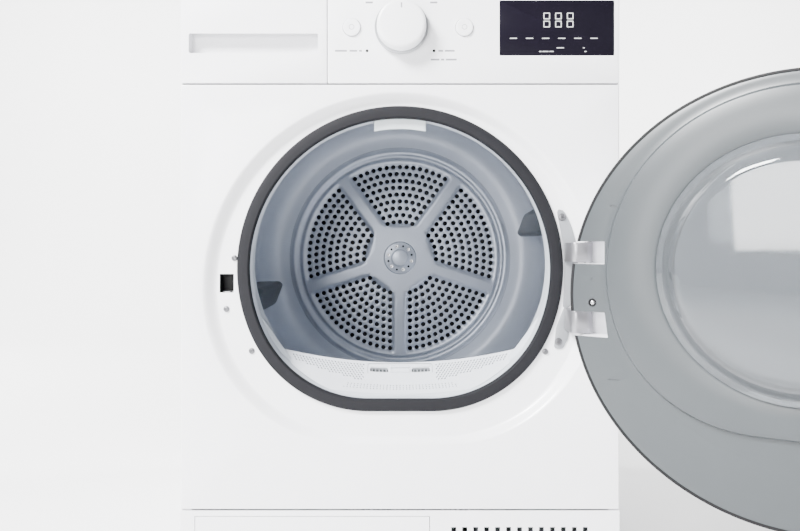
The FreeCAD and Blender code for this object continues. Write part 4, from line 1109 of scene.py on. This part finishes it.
def make_door_glass():
    pane = rounded(moved(DOOR_FACE, [(0.0, 0.0010), (0.110, 0.0020), (WINDOW_R - 0.0006, 0.0058),
                                     (WINDOW_R - 0.0006, 0.0092), (0.110, 0.0056), (0.0, 0.0046)]), 0.0010, 3)
    pane = [p for p in pane if p[0] > 0.0005]
    profile = [(0, DOOR_FACE + 0.0010)] + pane + [(0, DOOR_FACE + 0.0046)]
    window = piece("door_outer_window", *opened(lathe(0, DOOR_Z, profile, 160)), "door_glass",
                   SLOT_OF["door_window"], "door", 30)
    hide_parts("door_window")
    bowl = [(0, -0.2570), (BOWL_R - 0.034, -0.2570), (BOWL_R - 0.030, -0.2576), (BOWL_R - 0.024, -0.2606),
            (BOWL_R - 0.0125, -0.2760), (BOWL_R - 0.0075, FLOOR_Y - 0.0025),
            (BOWL_R - 0.003, FLOOR_Y - 0.0048), (BOWL_R, FLOOR_Y - 0.0062), (BOWL_R, FLOOR_Y - 0.0090),
            (BOWL_R - 0.0115, FLOOR_Y - 0.0090), (BOWL_R - 0.0118, FLOOR_Y - 0.0035),
            (BOWL_R - 0.0270, -0.2650), (BOWL_R - 0.0335, -0.2612), (BOWL_R - 0.036, -0.2610), (0, -0.2610)]
    glass = piece("door_glass_bowl", *opened(lathe(0, BOWL_Z, bowl, 160)), "door_glass",
                  SLOT_OF["door_bowl"], "door", 30)
    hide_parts("door_bowl")


def make_hook():
    x, z = -0.2395, 0.425
    stem = rounded([(DOOR_BACK - 0.0020, z - 0.005), (-0.2840, z - 0.005), (-0.2840, z - 0.0010),
                    (-0.2790, z - 0.0010), (-0.2790, z - 0.0050), (-0.2762, z - 0.0028),
                    (-0.2760, z + 0.0050), (DOOR_BACK - 0.0020, z + 0.005)], 0.0010, 3)
    bar = rings_mesh([[(x + side * 0.0040, y, height) for y, height in stem] for side in (-1, -0.9, 0.9, 1)],
                     (True, True))
    base = box_mesh((x - 0.007, DOOR_BACK, z - 0.009), (x + 0.007, DOOR_BACK + 0.0018, z + 0.009), 0.0006)
    hook = piece("door_latch_hook", *opened(joined(bar, base)), "latch_metal",
                 SLOT_OF["door_hook"], "door", 30)
    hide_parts("door_hook")


make_door_frame()
make_door_liner()
make_hinge_block()
make_door_glass()
make_hook()


# ---- control panel

FASCIA_LOW = 0.699
FASCIA_HIGH = 0.826
DRAWER_X = -0.100
DISPLAY = (0.136, 0.293, 0.7365, 0.812)
BUTTON_Z = 0.775
LINE_Z = 0.7430
LOWER_LINE_Z = 0.7310
PRINT_BACK = FRONT + 0.0004
GLOW_Y = FRONT - 0.00048
BUTTONS = {"power_button": -0.066, "start_button": 0.088}


def make_drawer_front():
    x0, x1, z0, z1 = -HALF_W, DRAWER_X, FASCIA_LOW, FASCIA_HIGH - 0.0006
    face = slab(rect(x0, z0, x1, z1, 0.0012, 3), "y", FRONT, FRONT + 0.020, 0.0011)
    front = piece("drawer_face", *face, "plastic_white", SLOT_OF["tank_front"], "tank_drawer", 35)
    opening = rect(-0.2890, 0.7400, -0.1120, 0.7670, 0.0030, 5)
    mouth = slab(opening, "y", FRONT - 0.002, FRONT + 0.0180)
    scoop = slab(rect(-0.2890, 0.7400, -0.1120, 0.7880, 0.0040, 5), "y", FRONT + 0.0032, FRONT + 0.0180)
    carve(front, mouth, scoop)
    edge = front.modifiers.new("edge", "BEVEL")
    edge.width = 0.0007
    edge.segments = 2
    edge.limit_method = "ANGLE"
    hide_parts("tank_front")


def make_fascia():
    x0, x1, z0, z1 = DRAWER_X + 0.001, HALF_W, FASCIA_LOW, FASCIA_HIGH
    face = slab(rect(x0, z0, x1, z1, 0.0012, 3), "y", FRONT, FRONT + 0.022, 0.0011)
    fascia = piece("fascia_face", *face, "plastic_white", SLOT_OF["control_fascia"], "cabinet", 35)
    cutters = []
    for x in BUTTONS.values():
        cutters.append(lathe(x, BUTTON_Z, moved(FRONT, [(0, -0.002), (0.0127, -0.002), (0.0127, 0.009),
                (0, 0.009)]), 64))
    dx0, dx1, dz0, dz1 = DISPLAY
    well = rect(dx0, dz0, dx1, dz1, 0.0015, 4)
    cutters.append(slab(well, "y", FRONT - 0.002, FRONT + 0.0040))
    carve(fascia, *cutters)
    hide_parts("control_fascia")
    glass = rect(dx0 + 0.0003, dz0 + 0.0003, dx1 - 0.0003, dz1 - 0.0003, 0.0012, 4)
    pane = piece("display_pane", *slab(glass, "y", FRONT - 0.0004, FRONT + 0.0030, 0.0005), "display_black",
                 SLOT_OF["display_window"], "cabinet", 35)
    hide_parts("display_window")


def make_knob():
    x, z, r = KNOB.x, KNOB.z, 0.0365
    cap = moved(FRONT, [(0, -0.0238), (r - 0.0085, -0.0240), (r - 0.0060, -0.0236), (r - 0.0042, -0.0222),
                        (r - 0.0036, -0.0198), (r - 0.0030, -0.0080), (r - 0.0029, -0.0070)])
    skirt = moved(FRONT, [(r - 0.0010, -0.0072), (r - 0.0002, -0.0066), (r, -0.0050), (r, -0.0012),
                          (r - 0.0006, -0.0006), (0, -0.0006)])
    stem = lathe(x, z, moved(FRONT, [(0, -0.001), (0.003, -0.001), (0.003, 0.0118), (0, 0.0120)]), 24)
    knob = piece("knob_cap", *joined(lathe(x, z, cap + [(0, FRONT - 0.0069)], 128), stem), "plastic_white",
                 SLOT_OF["program_knob"], "knob", 30)
    piece("knob_skirt", *lathe(x, z, [(0, FRONT - 0.0072)] + skirt, 128), "knob_rim",
          SLOT_OF["program_knob"], "knob", 30)
    mark = rect(x - 0.0009, z + 0.0200, x + 0.0009, z + 0.0270, 0.0008, 4)
    piece("knob_pointer", *slab(mark, "y", FRONT - 0.02410, FRONT - 0.0236), "label_grey",
          SLOT_OF["program_knob"], "knob")
    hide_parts("program_knob")


def make_buttons():
    for node, body in (("power_button", "power_key"), ("start_button", "start_key")):
        x = BUTTONS[node]
        cap = moved(FRONT, [(0, -0.0026), (0.0070, -0.0027), (0.0100, -0.0030), (0.0113, -0.0027),
                            (0.0119, -0.0018), (0.0120, -0.0005), (0.0120, 0.0044), (0.0138, 0.0046),
                            (0.0138, 0.0058), (0, 0.0060)])
        key = piece(node + "_cap", *lathe(x, BUTTON_Z, cap, 72), "plastic_white", SLOT_OF[node], body, 30)
        sign = moved(FRONT, [(0.0030, -0.0026), (0.0030, -0.00275), (0.0036, -0.00275), (0.0036, -0.0024)])
        piece(node + "_sign", *lathe(x, BUTTON_Z, sign, 40, loop=True), "label_grey", SLOT_OF[node], body)
        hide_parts(node)


def bars(places, half, corner, y):
    """Print bars from (x, z, length), standing just proud of the panel."""
    return [slab(rect(x, z - half, x + length, z + half, corner, 3), "y", y, PRINT_BACK)
            for x, z, length in places]


def make_marks():
    """Generic print: indicator dots and short bars where a maker would put words."""
    dot = [(0, FRONT - 0.00012), (0.0020, FRONT - 0.00010), (0.0021, PRINT_BACK), (0, PRINT_BACK)]
    lamps = [lathe(x, LINE_Z, dot, 24) for x in (-0.0450, 0.0465)]
    words = [(-0.0890, LINE_Z, 0.0165), (-0.0690, LINE_Z, 0.0105), (-0.0560, LINE_Z, 0.0040),
             (0.0525, LINE_Z, 0.0065), (0.0612, LINE_Z, 0.0135), (0.0420, LOWER_LINE_Z, 0.0120),
             (0.0560, LOWER_LINE_Z, 0.0045), (0.0625, LOWER_LINE_Z, 0.0150)]
    for step in (-3, -2, -1, 1, 2, 3):
        away = math.radians(90 + 26 * step)
        x = KNOB.x + 0.0560 * math.cos(away)
        z = KNOB.z + 0.0560 * math.sin(away)
        if abs(x - KNOB.x) < 0.054:
            words.append((x - 0.0050, z, 0.0100))
    piece("fascia_lamps", *joined(*lamps), "black_plastic", SLOT_OF["control_fascia"], "cabinet")
    print_bars = bars(words, 0.0012, 0.0006, FRONT - 0.00010)
    piece("fascia_print", *joined(*print_bars), "label_grey", SLOT_OF["control_fascia"], "cabinet")
    lines = [(0.1900, 0.7420, 0.0035), (0.1945, 0.7420, 0.0085), (0.2040, 0.7420, 0.0060),
             (0.2520, 0.7420, 0.0030), (0.2140, 0.7470, 0.0100), (0.2500, 0.7470, 0.0025)]
    lines += [(0.150 + 0.022 * k, 0.7600, 0.0100) for k in range(6)]
    glow = bars(lines, 0.0006, 0.0005, GLOW_Y)
    size = 0.0090
    for k in range(3):
        x = 0.196 + 0.016 * k
        for z in (0.7750, 0.7860):
            digit = rect(x, z, x + size, z + size, 0.0010, 3)
            hollow = [(x + size / 2 + (a - x - size / 2) * 0.72, z + size / 2 + (b - z - size / 2) * 0.72)
                      for a, b in digit]
            rings = [[(a, y, b) for a, b in ring] for ring, y in ((digit, FRONT - 0.0003), (digit, GLOW_Y),
                    (hollow, GLOW_Y), (hollow, FRONT - 0.0003))]
            glow.append(rings_mesh(rings, loop=True))
    piece("display_marks", *joined(*glow), "display_print", SLOT_OF["display_window"], "cabinet")


make_drawer_front()
make_fascia()
make_knob()
make_buttons()
make_marks()


# ---- carried-over parts

# The air duct behind the drum is in shade, and shows dark through the drum's holes.
SHADED = {"rear_duct": "lifter_charcoal"}

for node, obj in frame["nodes"].items():
    obj.data.materials.clear()
    obj.data.materials.append(MATERIALS[SHADED.get(node, SLOT_OF[node])])


# ---- studio

def make_studio():
    mesh = bpy.data.meshes.new("studio_floor")
    half = 6.0
    rows = [(-4.0, 0.0)] + [(2.2 + 1.4 * math.sin(a), 1.4 - 1.4 * math.cos(a))
                            for a in (math.pi / 2 * k / 12 for k in range(13))] + [(3.6, 6.0)]
    verts = [(x, y, z) for y, z in rows for x in (-half, half)]
    faces = [(2 * k, 2 * k + 1, 2 * k + 3, 2 * k + 2) for k in range(len(rows) - 1)]
    mesh.from_pydata(verts, [], faces)
    floor = placed("studio_floor", mesh)
    mesh.polygons.foreach_set("use_smooth", [True] * len(mesh.polygons))
    mat = bpy.data.materials.new("studio_white")
    mat.use_nodes = True
    shader = mat.node_tree.nodes["Principled BSDF"]
    shader.inputs["Base Color"].default_value = (0.88, 0.88, 0.88, 1)
    shader.inputs["Roughness"].default_value = 0.8
    mesh.materials.append(mat)


def area_light(name, place, target, size, power):
    data = bpy.data.lights.new(name, "AREA")
    data.shape = "RECTANGLE"
    data.size, data.size_y = size
    data.energy = power
    lamp = placed(name, data)
    lamp.location = place
    lamp.rotation_euler = (Vector(target) - Vector(place)).to_track_quat("-Z", "Y").to_euler()


def make_lights():
    world = bpy.data.worlds.new("studio_world")
    bpy.context.scene.world = world
    world.use_nodes = True
    sky = world.node_tree.nodes["Background"]
    sky.inputs["Color"].default_value = (1, 1, 1, 1)
    sky.inputs["Strength"].default_value = 0.30
    area_light("key", (-1.7, -2.0, 2.6), (0, -0.1, 0.45), (1.0, 0.9), 560)
    area_light("fill", (1.6, -2.6, 0.9), (0, 0, 0.45), (1.6, 1.6), 8)
    area_light("cavity", (-0.55, -1.8, 0.75), (0.1, 0.1, 0.42), (0.5, 0.5), 24)
    for side in (-1, 1):
        area_light("backdrop" + str(side), (side * 2.4, 0.9, 2.2), (side * 1.2, 3.4, 1.0), (1.5, 1.5), 300)


def make_camera():
    data = bpy.data.cameras.new("camera")
    camera = placed("camera", data)
    stand_off = 1.0
    view_width = 1.0936
    data.sensor_width = 36
    data.lens = data.sensor_width * stand_off / view_width
    data.shift_y = -0.0306
    camera.location = (0, FRONT - stand_off, 0.483)
    camera.rotation_euler = (math.pi / 2, 0, 0)
    bpy.context.scene.camera = camera


make_studio()
make_lights()
make_camera()
